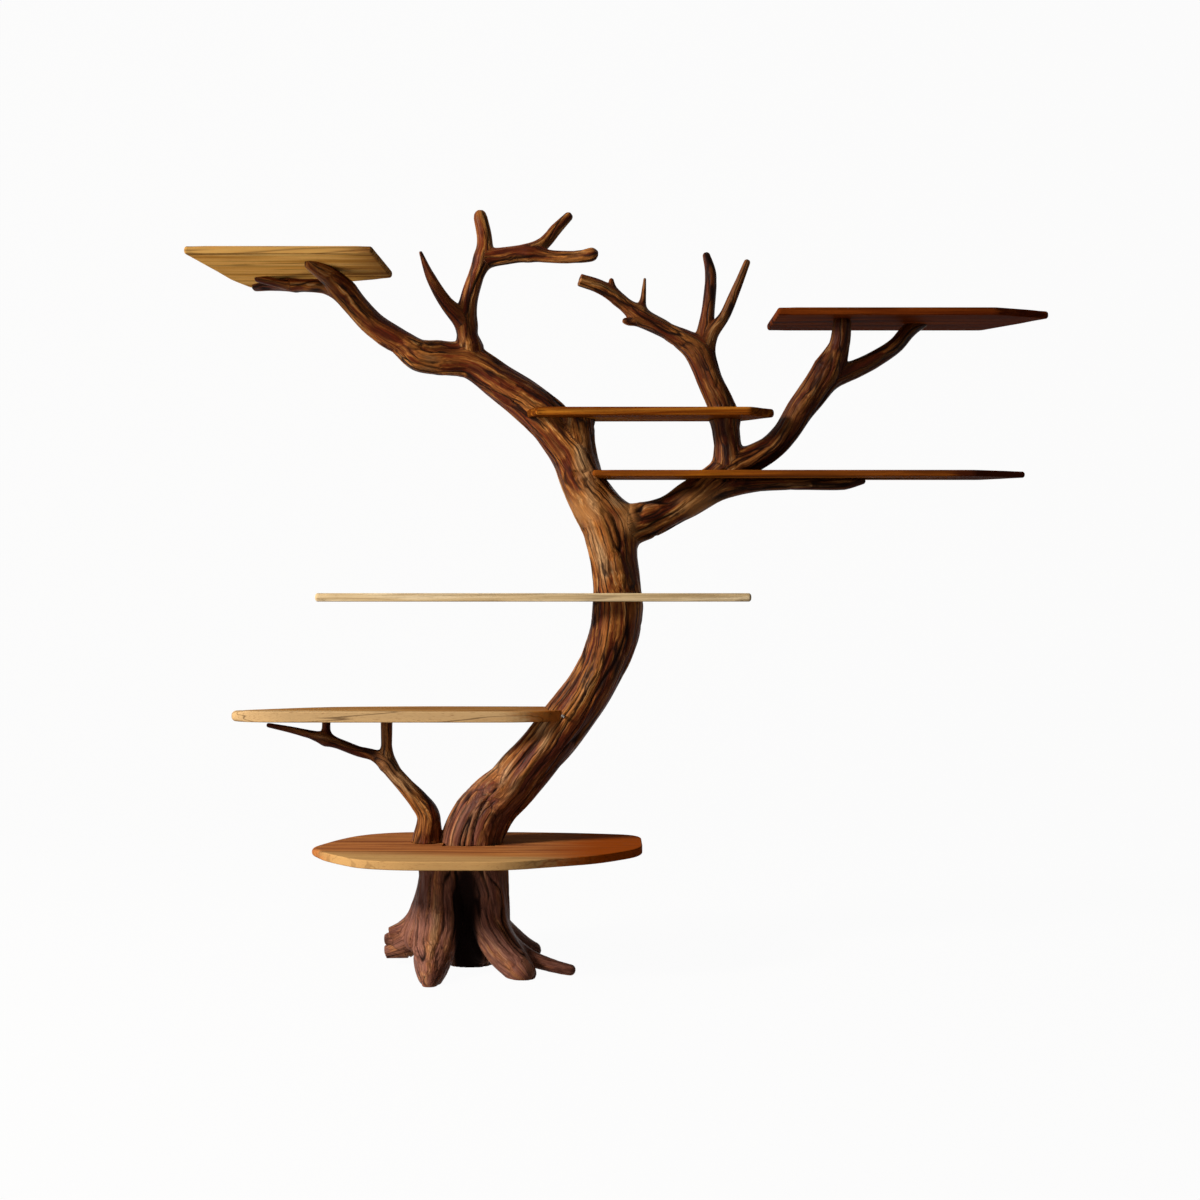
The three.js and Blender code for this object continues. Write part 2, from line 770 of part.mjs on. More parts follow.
const otherRoots = [
  webRootShares,
  brokenRootShares,
  splitRootShares,
  lowRootShares,
  rightRootShares,
  thinRootShares,
  middleRootShares,
  rearRootShares,
];

// Tenons where the tree passes the boards. The left limb passes a corner of the upper middle
// board, and the trunk a corner of the lower left board.
const tenons = {
  base: tenonOf(stem, boards.shelf_base),
  lowerLeft: tenonOf(stem, boards.shelf_lower_left),
  middle: tenonOf(stem, boards.shelf_middle),
  upperMiddle: tenonOf(stem, boards.shelf_upper_middle),
  lowerRight: tenonOf(rightStem, boards.shelf_lower_right),
  lowerRightEnd: tenonOf(stem, boards.shelf_lower_right),
};
tenons.lowerLeft.right = overrun;
tenons.upperMiddle.left = -overrun;
tenons.lowerRightEnd.left = -overrun;

// Dowels in the joints of the tree.
const leftLimbJoint = stationAt(stem, leftLimbJointShare);
const upperLimbJoint = stationAt(rightStem, upperLimbJointShare);
const crownFoot = stationAt(leftCrownStem, 0);
const rightLimbFoot = stationAt(rightStem, 0);
const leftCrownSeat = crownFoot.point.clone().addScaledVector(
  crownFoot.direction,
  crownSeatShare * trunkRadius,
);
const rightLimbSeat = rightLimbFoot.point.clone().addScaledVector(rightLimbFoot.direction, trunkRadius);
const stout = [stoutDowelLength, stoutDowelRadius];
const slim = [slimDowelLength, slimDowelRadius];
const through = [crownDowelLength, slimDowelRadius];
const dowels = {
  dowel_left_limb: dowelAt(leftLimbJoint.point, leftLimbJoint.direction, ...stout),
  dowel_right_limb: dowelAt(rightLimbSeat, rightLimbFoot.direction, ...stout),
  dowel_upper_limb: dowelAt(upperLimbJoint.point, upperLimbJoint.direction, ...slim),
  dowel_left_crown: dowelAt(leftCrownSeat, crownFoot.direction, ...slim),
  dowel_right_crown: dowelAt(rightCrownStem.curve.getPoint(0), up, ...through),
  dowel_prop_branch: dowelAt(prop.curve.getPoint(0), up, ...through),
  dowel_inner_post: postDowel(innerPost),
  dowel_outer_post: postDowel(outerPost),
};

// A blind dowel from a post up into the lower left board.
function postDowel(branch) {
  const board = boards.shelf_lower_left;
  const length = postDowelBite + board.thickness / 2;
  const middle = branch.curve.getPoint(1);
  middle.z = board.middle - length / 2;
  return dowelAt(middle, up, length, postDowelRadius);
}

// Screws down into the limbs.
const screws = {
  top_left_front: screwInto(stem, frontProngScrewShare, boards.shelf_top_left, prongScrewBite),
  top_left_rear: screwInto(leftProng, rearProngScrewShare, boards.shelf_top_left, tipScrewBite),
  top_left_side: screwInto(branchlet, branchletScrewShare, boards.shelf_top_left, tipScrewBite),
  top_right_inner: screwInto(rightStem, innerBearerScrewShare, boards.shelf_top_right, prongScrewBite),
  top_right_outer: screwInto(upperProng, outerBearerScrewShare, boards.shelf_top_right, tipScrewBite),
  upper_middle: screwInto(stub, 1, boards.shelf_upper_middle, postScrewBite),
  lower_right: screwInto(rightTip, tipScrewShare, boards.shelf_lower_right, tipScrewBite),
};

// Lag screws from the back. Where the tree passes a corner, the screw goes in beside it.
const lowerLeftLagX = THREE.MathUtils.lerp(
  tenons.lowerLeft.left,
  boards.shelf_lower_left.outlineShares[2][0] * overallReach,
  lowerLeftLagShare,
);
const upperMiddleLagX = THREE.MathUtils.lerp(
  tenons.upperMiddle.right,
  boards.shelf_upper_middle.outlineShares.at(-1)[0] * overallReach,
  upperMiddleLagShare,
);
const lags = {
  lag_base: lagAt(tenons.base, boards.shelf_base),
  lag_lower_left: lagAt(tenons.lowerLeft, boards.shelf_lower_left, lowerLeftLagX),
  lag_middle: lagAt(tenons.middle, boards.shelf_middle),
  lag_upper_middle: lagAt(tenons.upperMiddle, boards.shelf_upper_middle, upperMiddleLagX),
  lag_lower_right: lagAt(tenons.lowerRight, boards.shelf_lower_right),
};

// The trunk: roots, stem up to its joint with the left limb, and the stub under a board.
function trunkSolid() {
  const { point, direction } = leftLimbJoint;
  const sawn = point.clone().addScaledVector(direction, -fitClearance / 2);
  const roots = otherRoots.map((shares) => sweep(limb(shares)));
  const whole = join(
    cut(sweep(stem), beyond(sawn, direction)),
    sweep(stub),
    sweep(leftRoot),
    sweep(frontRoot),
    ...roots,
  );
  return cut(
    whole,
    beyond(new THREE.Vector3(0, 0, 0), down),
    housingFor(boards.shelf_base, tenons.base),
    housingFor(boards.shelf_lower_left, tenons.lowerLeft),
    housingFor(boards.shelf_middle, tenons.middle),
    housingFor(boards.shelf_upper_middle, tenons.upperMiddle),
    housingFor(boards.shelf_lower_right, tenons.lowerRightEnd),
    dowels.dowel_left_limb.hole,
    dowels.dowel_right_limb.hole,
    dowels.dowel_prop_branch.hole,
    screws.upper_middle.hole,
    lags.lag_base.hole,
    lags.lag_lower_left.hole,
    lags.lag_middle.hole,
    lags.lag_upper_middle.hole,
  );
}

// The left limb with its three prongs.
function leftLimbSolid() {
  const { point, direction } = leftLimbJoint;
  const sawn = point.clone().addScaledVector(direction, fitClearance / 2);
  const main = cut(sweep(stem), beyond(sawn, direction.clone().negate()));
  return cut(
    join(main, sweep(leftProng), sweep(branchlet)),
    roomFor(boards.shelf_top_left, { seat: true }),
    dowels.dowel_left_limb.hole,
    dowels.dowel_left_crown.hole,
    screws.top_left_front.hole,
    screws.top_left_rear.hole,
    screws.top_left_side.hole,
  );
}

// The bare branches on the left limb, coped to it.
function leftCrownSolid() {
  const whole = join(sweep(leftCrownStem), sweep(crownArm), sweep(crownFork), sweep(crownSpike));
  return cut(whole, sweep(stem, fitClearance), dowels.dowel_left_crown.hole);
}

// The right limb, coped to the trunk, with its tip and its post.
function rightLimbSolid() {
  const { point, direction } = upperLimbJoint;
  const sawn = point.clone().addScaledVector(direction, -fitClearance / 2);
  const main = cut(sweep(rightStem), beyond(sawn, direction));
  return cut(
    join(main, sweep(rightTip), sweep(post)),
    sweep(stem, fitClearance),
    sweep(stub, fitClearance),
    housingFor(boards.shelf_lower_right, tenons.lowerRight),
    roomFor(boards.shelf_upper_middle, { seat: true }),
    dowels.dowel_right_limb.hole,
    dowels.dowel_upper_limb.hole,
    dowels.dowel_right_crown.hole,
    screws.lower_right.hole,
    lags.lag_lower_right.hole,
  );
}

// The bare branches that stand on the upper middle board.
function rightCrownSolid() {
  const whole = join(
    sweep(rightCrownStem),
    sweep(middleStem),
    sweep(outerStem),
    sweep(longTwig),
    sweep(shortTwig),
    sweep(nub),
  );
  return cut(whole, belowTop(boards.shelf_upper_middle), dowels.dowel_right_crown.hole);
}

// The upper right limb with its two prongs.
function upperRightLimbSolid() {
  const { point, direction } = upperLimbJoint;
  const sawn = point.clone().addScaledVector(direction, fitClearance / 2);
  const main = cut(sweep(rightStem), beyond(sawn, direction.clone().negate()));
  return cut(
    join(main, sweep(upperProng)),
    roomFor(boards.shelf_top_right, { seat: true }),
    dowels.dowel_upper_limb.hole,
    screws.top_right_inner.hole,
    screws.top_right_outer.hole,
  );
}

// The prop branch with its two posts.
function propBranchSolid() {
  return cut(
    join(sweep(prop), sweep(innerPost), sweep(outerPost)),
    sweep(stem, fitClearance),
    sweep(frontRoot, fitClearance),
    sweep(leftRoot, fitClearance),
    belowTop(boards.shelf_base),
    roomFor(boards.shelf_lower_left, { seat: true }),
    dowels.dowel_prop_branch.hole,
    dowels.dowel_inner_post.hole,
    dowels.dowel_outer_post.hole,
  );
}

// What each board is cut by: the slots of its tenons, and its holes.
const boardCuts = {
  shelf_top_left: [screws.top_left_front.hole, screws.top_left_rear.hole, screws.top_left_side.hole],
  shelf_top_right: [screws.top_right_inner.hole, screws.top_right_outer.hole],
  shelf_upper_middle: [
    slot(tenons.upperMiddle, fitClearance),
    dowels.dowel_right_crown.hole,
    screws.upper_middle.hole,
    lags.lag_upper_middle.hole,
  ],
  shelf_lower_right: [
    slot(tenons.lowerRight, fitClearance),
    slot(tenons.lowerRightEnd, fitClearance),
    screws.lower_right.hole,
    lags.lag_lower_right.hole,
  ],
  shelf_middle: [slot(tenons.middle, fitClearance), lags.lag_middle.hole],
  shelf_lower_left: [
    slot(tenons.lowerLeft, fitClearance),
    dowels.dowel_inner_post.hole,
    dowels.dowel_outer_post.hole,
    lags.lag_lower_left.hole,
  ],
  shelf_base: [slot(tenons.base, fitClearance), dowels.dowel_prop_branch.hole, lags.lag_base.hole],
};
const boardFinishes = {
  shelf_top_left: honeyBoard,
  shelf_top_right: walnutBoard,
  shelf_upper_middle: orangeBoard,
  shelf_lower_right: brownBoard,
  shelf_middle: blondBoard,
  shelf_lower_left: beigeBoard,
  shelf_base: redBoard,
};

// The bookshelf.
const bookshelf = new THREE.Group();

function addPiece(name, solid, finish) {
  const mesh = new THREE.Mesh(geometryOf(solid), new THREE.MeshStandardMaterial(finish));
  mesh.name = name;
  bookshelf.add(mesh);
}

addPiece('trunk', trunkSolid(), greyRootWood);
addPiece('left_limb', leftLimbSolid(), barkWood);
addPiece('left_crown', leftCrownSolid(), barkWood);
addPiece('right_limb', rightLimbSolid(), barkWood);
addPiece('right_crown', rightCrownSolid(), barkWood);
addPiece('upper_right_limb', upperRightLimbSolid(), barkWood);
addPiece('prop_branch', propBranchSolid(), barkWood);
for (const [name, board] of Object.entries(boards)) {
  addPiece(name, cut(boardBlank(board), ...boardCuts[name]), boardFinishes[name]);
}
for (const [name, dowel] of Object.entries(dowels)) {
  addPiece(name, dowel.solid, beechDowel);
}
for (const [name, screw] of Object.entries(screws)) {
  addPiece(`screw_${name}`, screw.solid, zincSteel);
  addPiece(`plug_${name}`, screw.plug, beechDowel);
}
for (const [name, lag] of Object.entries(lags)) {
  addPiece(name, lag.solid, zincSteel);
}

const box = new THREE.Box3().setFromObject(bookshelf);
const centre = box.getCenter(new THREE.Vector3());
bookshelf.position.set(-centre.x, -centre.y, -box.min.z);

export default bookshelf;
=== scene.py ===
"""Looks of the tree shaped bookshelf: a natural varnished tree with seven boards.

Metres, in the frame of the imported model: +X to the right seen from the front, +Y to the rear, +Z up.
"""

import bmesh
import bpy
import numpy as np
from bpy.props import FloatProperty, FloatVectorProperty, PointerProperty
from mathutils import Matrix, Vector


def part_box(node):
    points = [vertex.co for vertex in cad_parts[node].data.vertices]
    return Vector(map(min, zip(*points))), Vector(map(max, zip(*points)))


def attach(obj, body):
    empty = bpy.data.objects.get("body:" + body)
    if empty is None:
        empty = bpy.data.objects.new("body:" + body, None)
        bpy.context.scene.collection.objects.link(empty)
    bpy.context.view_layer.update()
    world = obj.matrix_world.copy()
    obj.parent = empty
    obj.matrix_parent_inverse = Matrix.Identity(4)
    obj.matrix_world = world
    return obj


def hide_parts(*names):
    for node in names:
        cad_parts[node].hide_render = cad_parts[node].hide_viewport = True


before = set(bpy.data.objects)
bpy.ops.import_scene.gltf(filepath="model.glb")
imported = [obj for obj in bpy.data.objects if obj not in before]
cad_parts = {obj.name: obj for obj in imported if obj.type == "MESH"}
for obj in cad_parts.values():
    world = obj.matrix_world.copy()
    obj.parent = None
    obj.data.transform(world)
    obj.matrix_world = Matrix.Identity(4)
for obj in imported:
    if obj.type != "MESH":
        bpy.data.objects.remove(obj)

bl_info = {
    "name": "Tree shaped bookshelf",
    "version": (1, 0, 0),
    "blender": (4, 5, 0),
    "location": "View3D > Sidebar > Bookshelf",
    "description": "Dresses the bookshelf with carved wood, boards, fixings and a studio stage",
    "category": "Object",
}

MM = 0.001

# The tree's own measures, the same as the model's: reach, depth and height, the trunk's radius, and
# the way from the tree's own zero to the middle of the box round the bookshelf.
SPAN = np.array([2012.0, 488.0, 1830.0]) * MM
TRUNK_RADIUS = 61.0 * MM
SHIFT = np.array([2.16, -4.39, 0.0]) * MM

# Centre lines: thousandths of the reach, the depth and the height, and hundredths of the trunk's
# radius.
TABLE_UNITS = (1000, 1000, 1000, 100)
LIMBS = {
    "stem": [
        (-192, 222, -10, 105), (-190, 212, 30, 98), (-190, 192, 80, 92), (-191, 166, 125, 98),
        (-189, 141, 168, 118), (-177, 139, 198, 114), (-163, 139, 218, 103), (-143, 139, 238, 98),
        (-127, 139, 258, 98), (-94, 139, 298, 97), (-52, 139, 358, 93), (-32, 139, 397, 91),
        (-19, 139, 437, 100), (-14, 139, 477, 102), (-15, 139, 508, 97), (-18, 139, 537, 95),
        (-21, 139, 563, 99), (-27, 139, 590, 100), (-41, 139, 616, 86), (-55, 139, 639, 77),
        (-68, 139, 676, 85), (-83, 139, 700, 85), (-98, 139, 723, 87), (-124, 139, 748, 79),
        (-155, 139, 772, 71), (-192, 139, 798, 64), (-228, 127, 803, 70), (-251, 100, 806, 65),
        (-274, 77, 824, 48), (-305, 56, 846, 47), (-328, 15, 873, 47), (-345, -46, 895, 44),
        (-370, -251, 912, 24)],
    "stub": [
        (-42, 139, 606, 66), (-59, 139, 656, 74), (-64, 139, 690, 76), (-66, 139, 712, 84),
        (-68, 139, 727.8, 98)],
    "front_root": [
        (-224, 132, 158, 66), (-224, 117, 120, 74), (-226, 54, 64, 90), (-230, -77, 26, 80),
        (-229, -248, 6, 44), (-229, -321, 0, 20)],
    "left_root": [
        (-243, 148, 158, 58), (-236, 150, 118, 50), (-244, 158, 74, 60), (-262, 168, 40, 56),
        (-281, 178, 28, 40)],
    "web_root": [
        (-234, 142, 115, 50), (-240, 105, 72, 56), (-252, 70, 42, 54), (-257, 30, 30, 40)],
    "broken_root": [
        (-258, 156, 56, 34), (-276, 154, 48, 24), (-289, 150, 44.5, 16)],
    "split_root": [
        (-270, 166, 36, 30), (-295, 171, 33.5, 16)],
    "low_root": [
        (-268, 172, 22, 38), (-294, 182, 15.5, 23)],
    "right_root": [
        (-173, 139, 156, 88), (-167, 117, 93, 74), (-162, 35, 54, 74), (-147, -46, 30, 70),
        (-129, -112, 10, 58), (-117, -168, 0, 44)],
    "thin_root": [
        (-136, -4, 27, 44), (-110, -36, 17, 29), (-86, -56, 10, 24), (-63, -74, 5.5, 20)],
    "middle_root": [
        (-180, 160, 60, 60), (-176, 118, 26, 46), (-174, 90, 10, 32)],
    "rear_root": [
        (-185, 195, 110, 80), (-168, 293, 52, 66), (-136, 361, 18, 46), (-110, 392, 4, 28)],
    "left_prong": [
        (-335, -9, 884, 40), (-361, 10, 892, 28), (-395, 98, 898, 25), (-433, 254, 906, 24),
        (-464, 390, 910, 19)],
    "branchlet": [
        (-400, 108, 898, 16), (-430, 137, 905, 17), (-452, 178, 913, 18)],
    "left_crown": [
        (-190, 132, 802, 40), (-191, 128, 818, 52), (-194, 128, 836, 40), (-193, 128, 875, 37),
        (-184, 128, 911, 32), (-175, 128, 937, 34), (-174, 148, 962, 30), (-179, 163, 991, 27),
        (-180, 165, 998, 16)],
    "crown_arm": [
        (-175, 128, 934, 34), (-149, 122, 938, 34), (-119, 113, 941, 32), (-95, 98, 936, 25),
        (-65, 77, 934, 24), (-46, 61, 936, 28), (-38, 53, 939, 24)],
    "crown_fork": [
        (-119, 113, 942, 30), (-101, 139, 957, 25), (-88, 163, 975, 23), (-69, 189, 998, 17)],
    "crown_spike": [
        (-196, 128, 847, 37), (-219, 87, 875, 27), (-236, 46, 906, 19), (-248, 15, 939, 6)],
    "right_stem": [
        (-22, 139, 562, 55), (-4, 139, 581, 74), (20, 139, 588, 72), (47, 139, 600, 62),
        (73, 139, 618, 59), (98, 139, 638, 61), (128, 139, 659, 61), (170, 139, 683, 52),
        (188, 139, 703, 50), (207, 139, 736, 55), (221, 133, 757, 58), (240, 128, 789, 60),
        (252, 108, 820, 40), (255, 77, 858, 34)],
    "right_tip": [
        (74, 139, 620, 56), (110, 128, 632, 40), (158, 118, 636, 26), (206, 108, 637, 25),
        (258, 98, 637, 24), (283, 93, 641, 12)],
    "post": [
        (120, 139, 655, 60), (119, 139, 689, 52), (117, 139, 709, 54), (116, 139, 727.8, 63)],
    "right_crown": [
        (114, 139, 727.8, 60), (111, 139, 742, 52), (98, 139, 774, 49), (82, 139, 813, 51),
        (47, 128, 839, 34), (14, 118, 858, 37), (-12, 98, 879, 25), (-35, 77, 895, 27),
        (-59, 52, 903, 25)],
    "middle_stem": [
        (88, 139, 800, 37), (91, 148, 836, 32), (96, 159, 869, 27), (99, 180, 917, 23),
        (93, 189, 946, 14)],
    "outer_stem": [
        (91, 139, 809, 34), (100, 128, 835, 27), (115, 108, 859, 22), (128, 77, 892, 18),
        (142, 46, 930, 12)],
    "long_twig": [
        (14, 118, 862, 17), (17, 110, 880, 12), (19, 98, 908, 6)],
    "nub": [
        (14, 118, 856, 22), (0, 98, 850, 15), (-7, 85, 851, 9)],
    "short_twig": [
        (-12, 98, 879, 19), (-19, 93, 893, 12), (-21, 89, 907, 8)],
    "upper_prong": [
        (240, 128, 776, 42), (272, 147, 789, 37), (297, 171, 803, 34), (324, 205, 823, 31),
        (342, 234, 845, 30), (364, 261, 860, 22)],
    "prop": [
        (-245, 139, 158, 58), (-241, 139, 198, 46), (-252, 139, 218, 40), (-268, 135, 238, 34),
        (-281, 132, 254, 32), (-291, 128, 269, 33), (-307, 122, 279, 23), (-324, 119, 284, 22),
        (-348, 118, 294, 21), (-363, 113, 300, 23), (-384, 106, 307, 17), (-401, 98, 312, 14),
        (-433, 77, 320, 9)],
    "inner_post": [
        (-291, 128, 268, 30), (-291, 128, 292, 22), (-291, 128, 332.8, 25)],
    "outer_post": [
        (-363, 113, 300, 20), (-363, 113, 312, 15), (-363, 113, 332.8, 18)],
}

# Limbs that start flat on or under a board, and limbs with a sawn or broken end. The others grow
# out of their neighbours with a round start and have round tips.
FLAT_STARTS = ("front_root", "left_root", "right_root", "right_crown", "prop")
FLAT_ENDS = (
    "stub", "post", "inner_post", "outer_post", "right_crown", "broken_root", "split_root", "low_root")

# Tree pieces: the mesh size of the skin in millimetres.
TREE_PIECES = {
    "trunk": 3.6,
    "left_limb": 2.8,
    "left_crown": 2.2,
    "right_limb": 2.8,
    "right_crown": 2.2,
    "upper_right_limb": 2.6,
    "prop_branch": 2.2,
}

# Knots and calluses of the tree: x, y and z in millimetres, width, height of the swelling.
KNOTS = [
    (-318, 8, 432, 21, 3.6),
    (-333, 4, 446, 15, 3.5),
    (-296, 8, 566, 26, 4.0),
    (28, 24, 1098, 30, 8.0),
    (62, 20, 1104, 24, 5.0),
    (-160, 14, 1168, 22, 3.0),
    (-585, 20, 1492, 24, 5.0),
    (-430, 14, 1424, 26, 5.0),
    (425, 22, 1352, 18, 4.0),
    (-20, 2, 960, 24, 3.5),
    (-486, 30, 396, 11, 2.5),
    (212, 30, 1430, 13, 3.0),
]

# Recesses at the foot with painted shade, as dark as a fissure: middle and half widths in millimetres.
SHADED_RECESSES = [
    (-389, 10, 130, 36, 60, 170),
    (-388, 20, 40, 50, 55, 60),
]

# Smoothed patches with a painted highlight, paler and with shallower fissures: middle and half widths in
# millimetres.
SMOOTHED_HIGHLIGHTS = [
    (-92, -10, 1080, 22, 60, 150),
    (-60, 0, 985, 18, 50, 60),
    (-120, 0, 1215, 20, 50, 60),
    (-25, 10, 1120, 40, 40, 26),
    (-300, 0, 470, 34, 60, 60),
    (-205, 0, 590, 24, 50, 70),
    (-110, 0, 760, 22, 50, 80),
    (-455, -60, 150, 16, 90, 110),
    (-470, 0, 1445, 40, 40, 22),
    (-545, 50, 470, 60, 60, 90),
]

# Boards: underside as a share of the height, thickness and corner rounding in millimetres, and the
# outline as shares of the reach and the depth, anticlockwise seen from above.
BOARDS = {
    "shelf_top_left": (0.9115, 18, 10, [
        (-0.503, -0.426), (-0.290, -0.424), (-0.285, 0.179), (-0.338, 0.275), (-0.470, 0.448),
        (-0.484, 0.226)]),
    "shelf_top_right": (0.8527, 18, 10, [
        (0.174, -0.052), (0.432, -0.052), (0.502, 0.064), (0.440, 0.446), (0.173, 0.446)]),
    "shelf_upper_middle": (0.7224, 20, 10, [
        (-0.110, -0.075), (0.143, -0.075), (0.174, 0.037), (0.135, 0.234), (-0.060, 0.240), (-0.123, 0.059)]),
    "shelf_lower_right": (0.6437, 15, 10, [
        (-0.044, -0.073), (0.405, -0.073), (0.473, 0.044), (0.425, 0.213), (-0.036, 0.213)]),
    "shelf_middle": (0.4818, 20, 10, [
        (-0.370, -0.073), (0.144, -0.073), (0.138, 0.117), (0.120, 0.351), (-0.340, 0.361), (-0.366, 0.215)]),
    "shelf_lower_left": (0.3257, 26, 60, [
        (-0.430, -0.073), (-0.122, -0.073), (-0.068, 0.042), (-0.082, 0.322), (-0.250, 0.340),
        (-0.352, 0.303), (-0.400, 0.218), (-0.443, 0.094), (-0.483, 0.010)]),
    "shelf_base": (0.1525, 20, 60, [
        (-0.332, -0.316), (-0.305, -0.433), (-0.258, -0.490), (-0.139, -0.490), (-0.080, -0.375),
        (-0.035, -0.287), (0.016, -0.058), (0.016, 0.400), (-0.060, 0.474), (-0.136, 0.508),
        (-0.287, 0.508), (-0.333, 0.400), (-0.370, 0.082), (-0.377, -0.038), (-0.361, -0.162)]),
}

# Where the tree passes through the boards: the limb, and the side on which the slot runs out.
PASSES = {
    "shelf_base": [("stem", "")],
    "shelf_lower_left": [("stem", "right")],
    "shelf_middle": [("stem", "")],
    "shelf_upper_middle": [("stem", "left")],
    "shelf_lower_right": [("right_stem", ""), ("stem", "left")],
}
SLOT_DEPTH = 8.0 * MM
SLOT_GAP = 0.3 * MM
FAR = 9.0  # beyond every board: the side of a slot that runs out


# Curves and noise

SKEW = (0.31, 0.17, 0.42)  # a way that no limb starts in


def centre_line(table, round_start, round_tip, per_span=24):
    """Samples a limb: a centripetal Catmull-Rom curve through its points, radii straight between them.

    On each span a cubic a + bu + cu2 + du3 runs between two points, with tangents weighted by the
    square roots of the distances. A limb with a round tip ends one radius earlier, and the tip is
    half a ball. Returns points, radii, lengths along, tangents and two cross axes.
    """
    rows = np.array(table) / TABLE_UNITS
    points = rows[:, :3] * SPAN + SHIFT
    whole = np.vstack([2 * points[0] - points[1], points, 2 * points[-1] - points[-2]])
    gaps = np.sqrt(np.linalg.norm(np.diff(whole, axis=0), axis=1))[:, None]
    before, start, end, after = whole[:-3], whole[1:-2], whole[2:-1], whole[3:]
    d0, d1, d2 = gaps[:-2], gaps[1:-1], gaps[2:]
    leave = ((start - before) / d0 - (end - before) / (d0 + d1) + (end - start) / d1) * d1
    arrive = ((end - start) / d1 - (after - start) / (d1 + d2) + (after - end) / d2) * d1
    u = np.linspace(0, 1, per_span, endpoint=False)[None, :, None]
    square = 3 * (end - start) - 2 * leave - arrive
    cubic = 2 * (start - end) + leave + arrive
    line = start[:, None] + leave[:, None] * u + square[:, None] * u**2 + cubic[:, None] * u**3
    line = np.vstack([line.reshape(-1, 3), points[-1:]])
    radii = rows[:-1, None, 3] * (1 - u[:, :, 0]) + rows[1:, None, 3] * u[:, :, 0]
    radii = np.append(radii.ravel(), rows[-1, 3]) * TRUNK_RADIUS
    steps = np.linalg.norm(np.diff(line, axis=0), axis=1)
    along = np.concatenate([[0.0], np.cumsum(steps)])
    if round_tip:
        kept = along <= max(along[-1] - radii[-1], along[-1] / 2)
        line, radii, along = line[kept], radii[kept], along[kept]
    tangents = np.gradient(line, axis=0)
    tangents /= np.linalg.norm(tangents, axis=1)[:, None]
    across = np.empty_like(tangents)
    first = np.cross(tangents[0], SKEW)
    across[0] = first / np.linalg.norm(first)
    for here in range(1, len(line)):
        carried = across[here - 1] - tangents[here] * (across[here - 1] @ tangents[here])
        across[here] = carried / np.linalg.norm(carried)
    return {"line": line, "radii": radii, "along": along, "tangents": tangents,
            "across": across, "beside": np.cross(tangents, across),
            "round_start": round_start, "round_tip": round_tip}


CENTRE_LINES = {
    name: centre_line(table, name not in FLAT_STARTS, name not in FLAT_ENDS)
    for name, table in LIMBS.items()}

GRADIENTS = np.array([
    (1, 1, 0), (-1, 1, 0), (1, -1, 0), (-1, -1, 0), (1, 0, 1), (-1, 0, 1), (1, 0, -1), (-1, 0, -1),
    (0, 1, 1), (0, -1, 1), (0, 1, -1), (0, -1, -1), (1, 1, 0), (-1, 1, 0), (0, -1, 1), (0, -1, -1)], float)


def lattice_noise(points, seed):
    """Smooth noise from -1 to 1: hashed gradients at a cell's corners, faded by 6t5-15t4+10t3."""
    cell = np.floor(points).astype(np.int64)
    part = points - cell
    fade = part**3 * (part * (part * 6 - 15) + 10)
    total = np.zeros(len(points))
    for corner in np.ndindex(2, 2, 2):
        place = cell + corner
        code = (place[:, 0] * 73856093) ^ (place[:, 1] * 19349663) ^ (place[:, 2] * 83492791)
        code = (code ^ (seed * 668265263)) & 0xFFFFFFFF
        code = ((code ^ (code >> 15)) * 2246822519) & 0xFFFFFFFF
        code = ((code ^ (code >> 13)) * 3266489917) & 0xFFFFFFFF
        gradient = GRADIENTS[(code ^ (code >> 16)) & 15]
        weight = np.prod(np.where(corner, fade, 1 - fade), axis=1)
        total += weight * ((part - corner) * gradient).sum(axis=1)
    return total


def smooth_step(low, high, values):
    """0 below low, 1 above high, and 3t2-2t3 between."""
    t = np.clip((values - low) / (high - low), 0, 1)
    return t * t * (3 - 2 * t)


def bell(values, middle, reach):
    """1 at the middle, and exp(-t2) at t reaches from it."""
    return np.exp(-((values - middle) / reach) ** 2)


# Tree wood

END_PLAY = 3.0 * MM  # how far a limb's skin runs on beyond its flat end
JOINT_FILLET, CROTCH_FILLET = 6.0, 8.0  # softness of all joints, and what the crotch adds, in millimetres
CROTCH_LEVEL, CROTCH_REACH = 1.09, 0.085
CALLUS_LEVEL, CALLUS_REACH = 1.085, 0.07

# Points move with the skin over these ranges of their gap to it: in the open, in the zones of the
# cuts, and round the dowels of the joints between limbs.
OPEN_GAP, CUT_GAP, JOINT_GAP = (-0.030, -0.022), (-0.0065, -0.0035), (-0.026, -0.020)
JOINT_DOWELS = ("dowel_left_limb", "dowel_right_limb", "dowel_upper_limb", "dowel_left_crown")
JOINT_REACH = 0.080
SLOT_MARGIN, BORE_MARGIN = 1.5 * MM, 6 * MM

# Carving of a thick limb: height of the flutes and threads, depth of the fissures and fine cracks.
FLUTE, THREAD, FISSURE, FINE_CRACK = 4.6 * MM, 1.0 * MM, 4.2 * MM, 1.8 * MM


def fillet(points):
    """Softness of the joints between limbs, larger round the crotch."""
    return (JOINT_FILLET + CROTCH_FILLET * bell(points[:, 2], CROTCH_LEVEL, CROTCH_REACH)) * MM


def outward(points, faces):
    """Unit normals at the points of a mesh of quads: the sum of its faces' diagonals' cross products."""
    one = points[faces[:, 2]] - points[faces[:, 0]]
    other = points[faces[:, 3]] - points[faces[:, 1]]
    cross = np.cross(one, other)
    total = np.stack([
        np.bincount(faces.ravel(), np.repeat(cross[:, axis], 4), len(points)) for axis in range(3)], 1)
    return total / np.maximum(np.linalg.norm(total, axis=1), 1e-15)[:, None]


